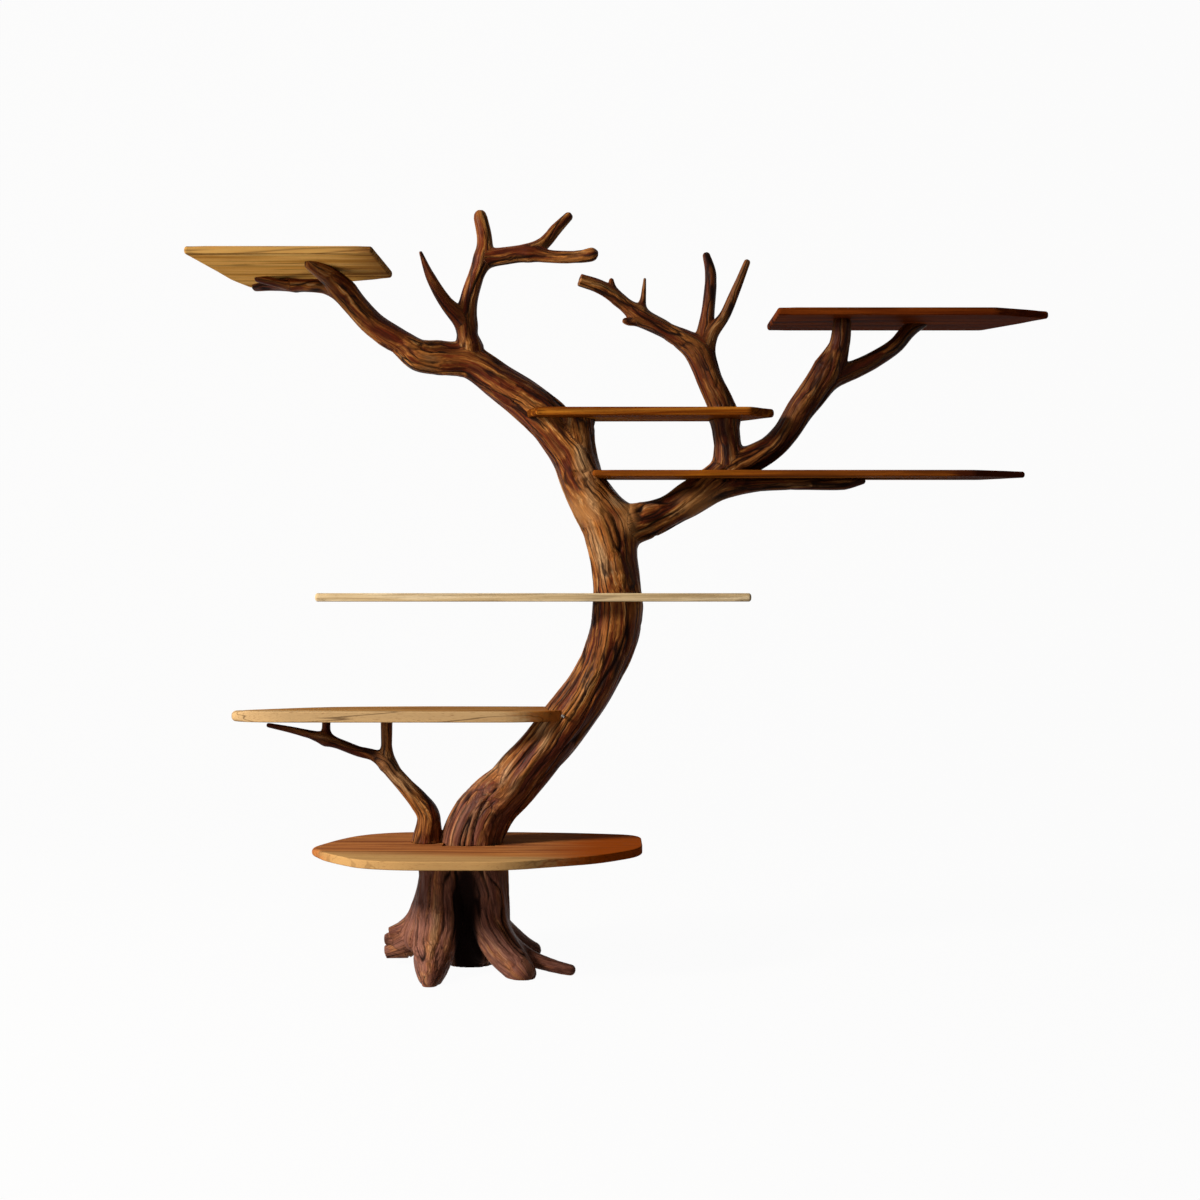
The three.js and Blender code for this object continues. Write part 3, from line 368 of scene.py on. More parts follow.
def cut_zones(points):
    """True where a board's slot, or the bore of a dowel, screw or lag screw, may be."""
    found = np.zeros(len(points), bool)
    for level_share, thickness, _, _ in BOARDS.values():
        level = level_share * SPAN[2]
        top = level + thickness * MM
        found |= (points[:, 2] > level - SLOT_MARGIN) & (points[:, 2] < top + SLOT_MARGIN)
    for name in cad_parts:
        if name.startswith(("lag_", "screw_", "dowel_", "plug_")):
            low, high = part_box(name)
            inside = (points > np.array(low) - BORE_MARGIN) & (points < np.array(high) + BORE_MARGIN)
            found |= inside.all(axis=1)
    return found


def freedom(points, faces, gap, away):
    """How far each point may move with the skin: 1 on bark, 0 on sawn faces, in slots and in bores.

    Bark faces along the skin's own direction. In the cut zones only points at the skin itself move.
    Round the dowel of a joint between two limbs the rim of the cut moves too, so that the joint closes.
    """
    facing = smooth_step(0.25, 0.7, (outward(points, faces) * away).sum(axis=1))
    plain = facing * smooth_step(*OPEN_GAP, gap)
    found = np.where(cut_zones(points), smooth_step(*CUT_GAP, gap), plain)
    for name in JOINT_DOWELS:
        low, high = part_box(name)
        far = np.linalg.norm(points - (np.array(low) + np.array(high)) / 2, axis=1)
        found = np.where(far < JOINT_REACH, smooth_step(*JOINT_GAP, gap), found)
    return found


def around(points, limb, chunk=12000):
    """Each point seen from a limb: distance to its skin, length along, and place in its section.

    The nearest sample is found by distance, then slid along the tangent to the point's own foot.
    Beyond a flat end, the distance is hypot(outside the skin, beyond the end).
    """
    line, radii = limb["line"], limb["radii"]
    nearest = np.empty(len(points), int)
    for start in range(0, len(points), chunk):
        part = points[start:start + chunk]
        squares = (line**2).sum(axis=1)[None] - 2 * part @ line.T
        nearest[start:start + chunk] = squares.argmin(axis=1)
    tangent = limb["tangents"][nearest]
    slide = ((points - line[nearest]) * tangent).sum(axis=1)
    if limb["round_tip"]:
        slide = np.where(nearest == len(line) - 1, np.minimum(slide, 0), slide)
    if limb["round_start"]:
        slide = np.where(nearest == 0, np.maximum(slide, 0), slide)
    away = points - line[nearest] - tangent * slide[:, None]
    distance = np.linalg.norm(away, axis=1)
    along = limb["along"][nearest] + slide
    radius = np.interp(along, limb["along"], radii)
    gap = distance - radius
    beyond = np.maximum(along - limb["along"][-1], -along) - END_PLAY
    gap = np.where(beyond > 0, np.hypot(np.maximum(gap, 0), beyond), gap)
    return {
        "gap": gap,
        "away": away / np.maximum(distance, 1e-9)[:, None],
        "along": along,
        "radius": radius,
        "side": (away * limb["across"][nearest]).sum(axis=1),
        "front": (away * limb["beside"][nearest]).sum(axis=1),
    }


def near_limbs(points, reach=0.05, margin=0.12):
    """The limbs that come near any of the points: the number of each, and its view of all of them."""
    low, high = points.min(axis=0) - margin, points.max(axis=0) + margin
    found = []
    for number, limb in enumerate(CENTRE_LINES.values()):
        if ((limb["line"] > low) & (limb["line"] < high)).all(axis=1).any():
            view = around(points, limb)
            if view["gap"].min() < reach:
                found.append((number, view))
    return found


def joined_skin(views, blend):
    """Skin of all the limbs as one: gap = -blend ln(sum exp(-gap/blend)), and the shares of each limb."""
    gaps = np.array([view["gap"] for view in views])
    lowest = gaps.min(axis=0)
    powers = np.exp(-(gaps - lowest) / blend)
    total = powers.sum(axis=0)
    shares = powers / total
    gap = lowest - blend * np.log(total)
    away = sum(share[:, None] * view["away"] for share, view in zip(shares, views))
    away /= np.maximum(np.linalg.norm(away, axis=1), 1e-9)[:, None]
    return gap, away, shares


def valleys(place, across, along, seed, width):
    """1 on the lines where long noise crosses zero, and exp(-(d/width)2) at distance d beside them.

    The distance is |n| over the slope of n across the grain, so that all lines are about as wide.
    Where the slope along the grain comes near the slope across it, the line turns, and fades.
    """
    scale = np.array([1 / across, 1 / across, 1 / along])
    step = 0.12 * across
    here = lattice_noise(place * scale, seed)
    right = lattice_noise((place + [step, 0, 0]) * scale, seed)
    above = lattice_noise((place + [0, step, 0]) * scale, seed)
    ahead = lattice_noise((place + [0, 0, step]) * scale, seed)
    slope = np.hypot(right - here, above - here) / step
    turning = slope / np.maximum(np.abs(ahead - here) / step, 1e-6)
    line = np.exp(-(here / np.maximum(slope * width, 0.02)) ** 2)
    return line * smooth_step(2.0, 6.0, turning)


def ellipsoids(rows, points, power):
    """Sum over the rows of exp(-d**power), with d the distance from the middle in half widths."""
    total = np.zeros(len(points))
    for row in rows:
        far = (((points - np.array(row[:3]) * MM) / (np.array(row[3:]) * MM)) ** 2).sum(axis=1)
        total += np.exp(-far ** (power / 2))
    return total


def seen_skin(points, faces):
    """Limbs near a mesh, and its points' gap to their joined skin, way out of it, shares and freedom."""
    limbs = near_limbs(points)
    gap, away, shares = joined_skin([view for _, view in limbs], fillet(points))
    return limbs, gap, away, shares, freedom(points, faces, gap, away)


def carved(view, number, points):
    """Carving of one limb: how far the skin stands out, how deep in a fissure, and the grain's place.

    Swellings are slow noise round and along the limb, and flutes are longer noise. Fissures are the
    zero lines of long stretched noise, wide ones and fine ones. Round a knot the pattern is spread.
    """
    radius = view["radius"]
    turn = view["along"] / 0.62
    angle = np.arctan2(view["front"], view["side"]) + turn
    side, front = radius * np.cos(angle), radius * np.sin(angle)
    size = np.clip(radius / 0.055, 0.2, 1.15)
    seed = 11 * number + 3
    rise = np.zeros(len(points))
    pit = np.zeros(len(points))
    spread = np.ones(len(points))
    for x, y, z, width, height in KNOTS:
        far = np.linalg.norm(points - np.array([x, y, z]) * MM, axis=1) / (width * MM)
        rise += height * MM * (bell(far, 0, 1) - 0.7 * bell(far, 0, 0.40))
        pit += bell(far, 0, 0.38)
        spread -= 0.22 * bell(far, 0, 1.6)
    grain = np.stack([side * spread, front * spread, view["along"]], axis=1)
    slow = np.stack([np.cos(angle), np.sin(angle), view["along"] / 0.16], axis=1)
    swell = 0.055 * radius * lattice_noise(slow * [1.5, 1.5, 1.0], seed)
    swell += 0.035 * radius * lattice_noise(slow * [2.6, 2.6, 1.7] + 5.2, seed + 1)
    bend = 0.010 * lattice_noise(grain * [14, 14, 9] + 1.7, seed + 2)[:, None]
    wander = grain + bend * [1, -1, 0]
    flute = lattice_noise(wander * [38, 38, 3.0] + 4.4, seed + 5)
    thread = lattice_noise(wander * [120, 120, 9] + 8.4, seed + 6)
    patch = lattice_noise(grain * [18, 18, 4.5] + 9.6, seed + 7)
    deep = valleys(wander, 0.034, 0.36, seed + 3, 2.3 * MM) * smooth_step(-0.30, 0.10, patch)
    thin = valleys(wander, 0.016, 0.19, seed + 4, 1.5 * MM) * smooth_step(0.25, -0.20, patch)
    # Smoothed patches: shallower fissures, and a painted highlight through the crest value.
    highlight = np.minimum(ellipsoids(SMOOTHED_HIGHLIGHTS, points, 2), 1)
    deep, thin = deep * (1 - 0.85 * highlight), thin * (1 - 0.5 * highlight)
    stand = swell + rise + size * (FLUTE * flute + THREAD * thread)
    stand -= size * (FISSURE * deep + FINE_CRACK * thin)
    # How high the skin stands, plus the smoothed patches: the material paints highlight on crests and shade
    # between them.
    crest = np.clip(0.5 + 0.85 * flute + 0.225 * thread + swell / (0.12 * radius), 0, 1)
    fissure = np.clip(0.90 * deep + 0.45 * thin + 0.6 * pit, 0, 1)
    return stand, fissure, crest + highlight, grain + number * 0.37


def skin_of(name, voxel):
    """Even closed skin round a CAD node: its merged copy through a voxel remesh, as arrays."""
    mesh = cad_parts[name].data.copy()
    form = bmesh.new()
    form.from_mesh(mesh)
    bmesh.ops.remove_doubles(form, verts=form.verts, dist=0.01 * MM)
    form.to_mesh(mesh)
    form.free()
    holder = bpy.data.objects.new(name + "_blank", mesh)
    bpy.context.scene.collection.objects.link(holder)
    remesh = holder.modifiers.new("skin", "REMESH")
    remesh.mode = "VOXEL"
    remesh.voxel_size = voxel * MM
    graph = bpy.context.evaluated_depsgraph_get()
    even = bpy.data.meshes.new_from_object(holder.evaluated_get(graph))
    points = np.empty(len(even.vertices) * 3)
    even.vertices.foreach_get("co", points)
    corners = np.empty(len(even.loops), int)
    even.loops.foreach_get("vertex_index", corners)
    edges = np.empty(len(even.edges) * 2, int)
    even.edges.foreach_get("vertices", edges)
    bpy.data.objects.remove(holder)
    bpy.data.meshes.remove(mesh)
    bpy.data.meshes.remove(even)
    return points.reshape(-1, 3), corners.reshape(-1, 4), edges.reshape(-1, 2)


def relaxed(points, edges, rounds, share):
    """Each point moved a share of the way to the mean of its neighbours, in rounds."""
    count = np.bincount(edges.ravel(), minlength=len(points))
    for _ in range(rounds):
        total = np.empty_like(points)
        for axis in range(3):
            one = np.bincount(edges[:, 0], points[edges[:, 1], axis], len(points))
            other = np.bincount(edges[:, 1], points[edges[:, 0], axis], len(points))
            total[:, axis] = one + other
        points = points + share * (total / count[:, None] - points)
    return points


def tree_piece(name, voxel, depth):
    """A tree piece: even skin of its node, drawn onto the joined skin of the limbs, then carved.

    Points of sawn faces, slots and bores stay. The others slide along the skin's own direction,
    then stand out by the carving.
    """
    points, faces, edges = skin_of(name, voxel)
    points = relaxed(points, edges, 3, 0.5)
    for _ in range(2):
        _, gap, away, _, free = seen_skin(points, faces)
        points = points - away * (gap * free)[:, None]
    limbs, _, away, shares, free = seen_skin(points, faces)
    stand = np.zeros(len(points))
    fissure = np.zeros(len(points))
    crest = np.zeros(len(points))
    grain = np.zeros((len(points), 3))
    owner = shares.argmax(axis=0)
    for place, (number, view) in enumerate(limbs):
        share = shares[place]
        used = share > 0.004
        if not used.any():
            continue
        part = {key: value[used] for key, value in view.items()}
        out, crack, high, flow = carved(part, number, points[used])
        stand[used] += share[used] * out
        fissure[used] += share[used] * crack
        crest[used] += share[used] * high
        mine = owner[used] == place
        grain[np.flatnonzero(used)[mine]] = flow[mine]
    points = points + away * (stand * depth * free)[:, None]
    points[:, 2] = np.maximum(points[:, 2], 0.0)
    # The recesses at the foot get painted shade here, through the fissure value.
    fissure = np.clip(fissure + ellipsoids(SHADED_RECESSES, points, 4), 0, 1) * free + 0.25 * (1 - free)
    ordered = np.sort(shares, axis=0)
    mixed = 1 - ordered[-1] + (ordered[-2] if len(ordered) > 1 else 0)
    callus = mixed * bell(points[:, 2], CALLUS_LEVEL, CALLUS_REACH)
    return points, faces, {"fissure": fissure, "crest": crest, "grain": grain, "callus": callus}


def put_mesh(name, points, faces, smooth=True, tints=None):
    """A new object from arrays of points and faces, with named values on its points."""
    mesh = bpy.data.meshes.new(name)
    mesh.from_pydata(points.tolist(), [], faces if isinstance(faces, list) else faces.tolist())
    mesh.polygons.foreach_set("use_smooth", np.full(len(mesh.polygons), smooth))
    for key, values in (tints or {}).items():
        kind = "FLOAT_VECTOR" if values.ndim == 2 else "FLOAT"
        field = "vector" if values.ndim == 2 else "value"
        attribute = mesh.attributes.new(key, kind, "POINT")
        attribute.data.foreach_set(field, values.astype(np.float32).ravel())
    mesh.update()
    piece = bpy.data.objects.new(name, mesh)
    bpy.context.scene.collection.objects.link(piece)
    return piece


def dress(piece, node_name, material):
    """Lets a piece ride on the frame in place of its CAD node, with its material."""
    piece.data.materials.clear()
    piece.data.materials.append(material)
    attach(piece, "root")
    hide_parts(node_name)


# Boards

END_REACH, END_EASE = 0.05, 3.4  # how near its end a board's edge is eased more, and how much more
LARGE_ROUNDING = 30  # boards with larger corners have only their left end eased so
# How far the sides lie inside the CAD's, how much lower the board lies, and how far its sides wander
SIDE_INSET, SINK, HAND_SANDING = 0.3 * MM, 0.1 * MM, 0.25 * MM


def rounded_outline(shares, rounding):
    """A board's outline: straight edges, with a quadratic curve over each corner, in metres."""
    corners = np.array(shares) * SPAN[:2]
    before, after = np.roll(corners, 1, axis=0), np.roll(corners, -1, axis=0)
    u = np.linspace(0, 1, 9)[None, :, None]

    def leave(other):
        way = other - corners
        far = np.linalg.norm(way, axis=1)[:, None]
        return corners + way / far * np.minimum(rounding, far / 2)

    start, end = leave(before), leave(after)
    curve = start[:, None] * (1 - u) ** 2 + 2 * corners[:, None] * u * (1 - u) + end[:, None] * u**2
    return curve.reshape(-1, 2) + SHIFT[:2]


def even_steps(outline, spacing=0.012):
    """The outline again with points at most a spacing apart, its own points kept."""
    after = np.roll(outline, -1, axis=0)
    counts = np.maximum(1, np.ceil(np.linalg.norm(after - outline, axis=1) / spacing).astype(int))
    starts = np.repeat(outline, counts, axis=0)
    ways = np.repeat((after - outline) / counts[:, None], counts, axis=0)
    number = np.arange(counts.sum()) - np.repeat(np.cumsum(counts) - counts, counts)
    return starts + ways * number[:, None]


def slot_of(limb_name, level, thickness, runs_out):
    """Left, right and front of the slot that a limb takes out of a board, open to the rear."""
    limb = CENTRE_LINES[limb_name]
    here = int((limb["line"][:, 2] >= level + thickness / 2).argmax())
    point, tangent, radius = limb["line"][here], limb["tangents"][here], limb["radii"][here]
    rise = abs(tangent[2])
    half = radius / rise - abs(tangent[0]) / rise * thickness / 2 - SLOT_DEPTH + SLOT_GAP
    left = -FAR if runs_out == "left" else point[0] - half
    right = FAR if runs_out == "right" else point[0] + half
    return left, right, point[1] - radius + SLOT_DEPTH - SLOT_GAP


def notched(outline, slot):
    """The outline less a slot that is open to the rear, whose corners replace the points inside it."""
    left, right, front = slot
    inside = (outline[:, 0] > left) & (outline[:, 0] < right) & (outline[:, 1] > front)
    first = int(np.flatnonzero(inside & ~np.roll(inside, 1))[0])
    turned = np.roll(outline, -first, axis=0)
    kept = turned[~np.roll(inside, -first)]
    entry, leaving = turned[0].copy(), turned[np.roll(inside, -first)][-1].copy()
    path = []
    if right < FAR:
        path += [(right, entry[1]), (right, front)]
    else:
        path += [(entry[0], front)]
    if left > -FAR:
        path += [(left, front), (left, leaving[1])]
    else:
        path += [(leaving[0], front)]
    return np.vstack([np.array(path), kept])


def inward(outline):
    """For each point of a closed outline, the unit way into it, as the mean of its two edges' normals."""
    ahead = np.roll(outline, -1, axis=0) - outline
    ahead /= np.maximum(np.linalg.norm(ahead, axis=1), 1e-9)[:, None]
    behind = np.roll(ahead, 1, axis=0)
    mean = ahead + behind
    mean /= np.maximum(np.linalg.norm(mean, axis=1), 1e-6)[:, None]
    into = np.stack([-mean[:, 1], mean[:, 0]], axis=1)
    cosine = np.clip((into * np.stack([-ahead[:, 1], ahead[:, 0]], axis=1)).sum(axis=1), 0.6, 1)
    return into / cosine[:, None]


def board_piece(name, edge):
    """A board: its outline carried through an eased edge profile, closed above and below.

    The profile is a quarter ellipse at the top and at the bottom edge: inset = w(1 - sin t),
    drop = h(1 - cos t), with w and h the eased edge. They grow towards the ends of a board with small
    corners, and towards the left end of one with large corners, where no limb cuts it off. The sides
    wander by up to a quarter of a millimetre, as hand sanded edges do.
    """
    level_share, thickness, rounding, shares = BOARDS[name]
    level = level_share * SPAN[2]
    thickness *= MM
    outline = even_steps(rounded_outline(shares, rounding * MM))
    for limb_name, runs_out in PASSES.get(name, []):
        outline = notched(outline, slot_of(limb_name, level, thickness, runs_out))
    into = inward(outline)
    turn = np.linspace(0, np.pi / 2, 6)
    to_left, to_right = outline[:, 0] - outline[:, 0].min(), outline[:, 0].max() - outline[:, 0]
    to_end = to_left if rounding > LARGE_ROUNDING else np.minimum(to_left, to_right)
    eased = edge * (1 + END_EASE * smooth_step(END_REACH, 0.0, to_end))
    wide, tall = np.minimum(eased, 0.6 * rounding * MM), np.minimum(eased, 0.45 * thickness)
    inset = wide * (1 - np.sin(np.concatenate([turn, turn[::-1]])))[:, None]
    drop = tall * (1 - np.cos(turn))[:, None]
    height = np.concatenate([thickness - drop, drop[::-1]])
    wander = HAND_SANDING * lattice_noise(np.column_stack([outline * 22, np.full(len(outline), 0.5)]), 71)
    reach = inset + SIDE_INSET + wander[None]
    rings = outline[None] + into[None] * reach[:, :, None]
    heights = (level + height - SINK)[:, :, None]
    points = np.concatenate([rings, heights], axis=2).reshape(-1, 3)
    count, levels = len(outline), len(inset)
    ring, side = np.meshgrid(np.arange(levels - 1), np.arange(count), indexing="ij")
    here = ring * count + side
    there = ring * count + (side + 1) % count
    walls = np.stack([here, here + count, there + count, there], axis=-1).reshape(-1, 4)
    top, bottom = list(range(count)), list(range(levels * count - 1, (levels - 1) * count - 1, -1))
    faces = walls.tolist() + [top, bottom]
    return points, faces


# Materials

def linear(code):
    """A colour written as sRGB hex, as linear red, green, blue and full alpha."""
    channels = np.array([int(code[k:k + 2], 16) for k in (1, 3, 5)]) / 255
    straight = np.where(channels <= 0.04045, channels / 12.92, ((channels + 0.055) / 1.055) ** 2.4)
    return tuple(straight) + (1.0,)


def add_node(tree, kind, inputs=None, **settings):
    """Adds a node with its settings; an input given as a socket is linked, any other value is set."""
    node = tree.nodes.new(kind)
    for key, value in settings.items():
        setattr(node, key, value)
    for key, value in (inputs or {}).items():
        if isinstance(value, bpy.types.NodeSocket):
            tree.links.new(value, node.inputs[key])
        else:
            node.inputs[key].default_value = value
    return node


def new_material(name):
    """An empty node material with its output node."""
    material = bpy.data.materials.new(name)
    material.use_nodes = True
    material.node_tree.nodes.clear()
    return material, material.node_tree


def object_place(tree):
    """The place on the object itself, in metres."""
    return add_node(tree, "ShaderNodeTexCoord").outputs["Object"]


def axes_of(tree, vector):
    """The three parts of a vector."""
    return add_node(tree, "ShaderNodeSeparateXYZ", {0: vector}).outputs


def point_value(tree, key, kind="Fac"):
    """What a mesh carries on its points under a name."""
    return add_node(tree, "ShaderNodeAttribute", attribute_name=key).outputs[kind]


def grain_cells(tree, place, across, along):
    """A place scaled to cells of so many millimetres across and along the grain."""
    return add_node(tree, "ShaderNodeMapping", {
        "Vector": place, "Scale": (1 / (along * MM), 1 / (across * MM), 1 / (across * MM))}).outputs["Vector"]


def stretched(tree, place, across, along, detail=3.0, rough=0.55, warp=0.0):
    """Noise in cells of so many millimetres across and along the grain, from 0 to 1."""
    return add_node(tree, "ShaderNodeTexNoise", {
        "Vector": grain_cells(tree, place, across, along), "Scale": 1.0, "Detail": detail,
        "Roughness": rough, "Distortion": warp}).outputs["Fac"]


def ramp(tree, value, stops):
    """A colour ramp over a value, with its stops as position and colour."""
    node = add_node(tree, "ShaderNodeValToRGB", {"Fac": value})
    while len(node.color_ramp.elements) < len(stops):
        node.color_ramp.elements.new(0.5)
    for element, (place, colour) in zip(node.color_ramp.elements, stops):
        element.position = place
        element.color = colour
    return node.outputs["Color"]


def grey(tree, value, low, high, top=1.0):
    """A smooth step over a value: 0 at low, and top at high."""
    return add_node(tree, "ShaderNodeMapRange", {
        "Value": value, "From Min": low, "From Max": high, "To Min": 0.0, "To Max": top},
        interpolation_type="SMOOTHSTEP").outputs["Result"]


def combine(tree, operation, *values):
    """Values put through an arithmetic operation."""
    return add_node(tree, "ShaderNodeMath", dict(enumerate(values)), operation=operation).outputs[0]


def blend(tree, share, one, other):
    """One colour turned into the other by a share."""
    return add_node(tree, "ShaderNodeMix", {0: share, 6: one, 7: other}, data_type="RGBA").outputs[2]


def layered(tree, colour, layers):
    """Colours laid over a first one, each by a smooth step: value, low, high, largest share, colour."""
    for value, low, high, top, over in layers:
        colour = blend(tree, grey(tree, value, low, high, top), colour, over)
    return colour


def coat(tree, colour, rough, height, strength, distance, more):
    """Ends a material: a bump of so many millimetres, the shader with its other inputs, the output."""
    bump = add_node(tree, "ShaderNodeBump", {
        "Strength": strength, "Distance": distance * MM, "Height": height})
    shader = add_node(tree, "ShaderNodeBsdfPrincipled", {
        "Base Color": colour, "Roughness": rough, "Normal": bump.outputs["Normal"], **more})
    add_node(tree, "ShaderNodeOutputMaterial", {"Surface": shader.outputs["BSDF"]})


def vein_lines(tree, place, across, along, width, warp):
    """1 on the thin lines where long noise crosses its middle, 0 beside them."""
    noise = stretched(tree, place, across, along, detail=2.0, rough=0.5, warp=warp)
    off = combine(tree, "ABSOLUTE", combine(tree, "SUBTRACT", noise, 0.5))
    return grey(tree, off, width, 0.0)


def long_cells(tree, place, across, along, width):
    """1 on the seams between long cells packed side by side along the grain, 0 inside them."""
    cells = add_node(tree, "ShaderNodeTexVoronoi", {
        "Vector": grain_cells(tree, place, across, along), "Scale": 1.0}, feature="DISTANCE_TO_EDGE")
    return grey(tree, cells.outputs["Distance"], width / across, 0.0)


# Colours of the limb wood, from the ground to the fissures: a painted highlight colour, a painted shade
# colour, and a mauve colour that is partly painted sheen among them.
LIMB_TINTS = {
    "brown": "#612910", "gold": "#a4682f", "pale": "#daae76", "red": "#591f0b", "highlight": "#b78f63",
    "painted_shade": "#2c0c04", "dust_and_sheen": "#7c5244", "hair": "#2a0f05", "crack": "#170703", "callus": "#8c5f35",
    "fissure": "#0f0402"}


def limb_wood(name, shadow, weathered):
    """Varnished natural limb wood: fissures along the grain, red brown sides, painted light on the relief.

    It is the bare wood of an old tree, brushed clean and varnished so thinly that it hardly shines,
    with matt cracks that are nearly black. Crests and smoothed patches get a painted highlight, and
    the hollows between the flutes painted shade. Painted shade darkens it towards the upper right,
    and at the far left below 0.7 m, where the prop branch is under the lower left board. The callus
    of the fork is smooth and pale, and low down the wood is greyer and pinker, partly weathered and
    partly with a painted sheen, with fainter cracks.
    """
    material, tree = new_material(name)
    tint = {key: linear(code) for key, code in LIMB_TINTS.items()}
    axes = axes_of(tree, point_value(tree, "grain", "Vector"))
    straight = add_node(tree, "ShaderNodeCombineXYZ", {0: axes[2], 1: axes[0], 2: axes[1]}).outputs[0]
    wave = add_node(tree, "ShaderNodeTexNoise", {"Vector": straight, "Scale": 24.0, "Detail": 2.0})
    middle = add_node(tree, "ShaderNodeVectorMath", {
        0: wave.outputs["Color"], 1: (0.5, 0.5, 0.5)}, operation="SUBTRACT")
    place = add_node(tree, "ShaderNodeVectorMath", {
        0: middle.outputs[0], 1: (0.0, 0.011, 0.011), 2: straight}, operation="MULTIPLY_ADD").outputs[0]
    fissure, crest, callus = (point_value(tree, key) for key in ("fissure", "crest", "callus"))
    spot = axes_of(tree, object_place(tree))
    patch = stretched(tree, place, 46, 240, detail=2.0)
    streak = stretched(tree, place, 12, 240, detail=4.0, rough=0.6)
    thread = stretched(tree, place, 2.2, 60, rough=0.6)
    seams = long_cells(tree, place, 15, 280, 2.6)
    hairs = long_cells(tree, place, 5.4, 120, 1.3)
    some = grey(tree, stretched(tree, place, 20, 110, detail=1.0), 0.42, 0.58, 0.70)
    colour = ramp(tree, streak, [
        (0.29, shadow), (0.44, tint["brown"]), (0.58, tint["gold"]), (0.75, tint["pale"])])
    # Painted highlight in gold on the crests, and painted shade in the hollows between them.
    colour = layered(tree, colour, [
        (patch, 0.46, 0.68, 0.7, tint["red"]),
        (crest, 0.55, 1.0, 0.5, tint["gold"]),
        (crest, 0.42, 0.0, 0.6, shadow)])
    # Painted highlight, paler still, on the highest crests and on the smoothed patches.
    highlight = combine(tree, "MULTIPLY", grey(tree, crest, 0.9, 1.7, 0.8), grey(tree, streak, 0.30, 0.52))
    colour = blend(tree, highlight, colour, tint["highlight"])
    colour = layered(tree, colour, [(thread, 0.52, 0.34, 0.45, shadow)])
    # Painted shade: darker towards the upper right, away from the key lamp, and on the prop branch under the
    # lower left board.
    lean = combine(tree, "MULTIPLY_ADD", spot[2], 0.5, spot[0])
    prop = combine(tree, "MULTIPLY", grey(tree, spot[0], -0.52, -0.62, 0.55), grey(tree, spot[2], 0.75, 0.60))
    painted_shade = combine(tree, "MAXIMUM", grey(tree, lean, 0.56, 1.10, 0.62), prop)
    colour = blend(tree, painted_shade, colour, tint["painted_shade"])
    if weathered:
        # Low down the wood turns greyer and pinker: partly weathering, partly a painted sheen.
        low = grey(tree, spot[2], 0.62, 0.12)
        dust_and_sheen = grey(tree, stretched(tree, place, 30, 95), 0.36, 0.60, 0.45)
        dust_and_sheen = combine(tree, "MULTIPLY", low, combine(tree, "ADD", dust_and_sheen, 0.42))
        colour = blend(tree, dust_and_sheen, colour, tint["dust_and_sheen"])
        seams = combine(tree, "MULTIPLY", seams, combine(tree, "MULTIPLY_ADD", low, -0.5, 1.0))
    cracks = combine(tree, "MULTIPLY", seams, combine(tree, "ADD", some, 0.28))
    colour = blend(tree, combine(tree, "MULTIPLY", hairs, 0.45), colour, tint["hair"])
    colour = blend(tree, cracks, colour, tint["crack"])
    # Fissures turn nearly black, and so do the recesses at the foot, whose darkness is painted shade.
    colour = layered(tree, colour, [
        (callus, 0.15, 1.1, 1.0, tint["callus"]),
        (fissure, 0.15, 0.95, 1.0, tint["fissure"])])
    fibres = combine(tree, "MULTIPLY", combine(tree, "ADD", streak, thread), 0.5)
    height = combine(tree, "SUBTRACT", fibres, combine(tree, "MULTIPLY_ADD", hairs, 0.35, cracks))
    rough = combine(tree, "MULTIPLY_ADD", fissure, 0.35, 0.42)
    coat(tree, colour, rough, height, 0.8, 1.2, {"Specular IOR Level": 0.04})
    return material


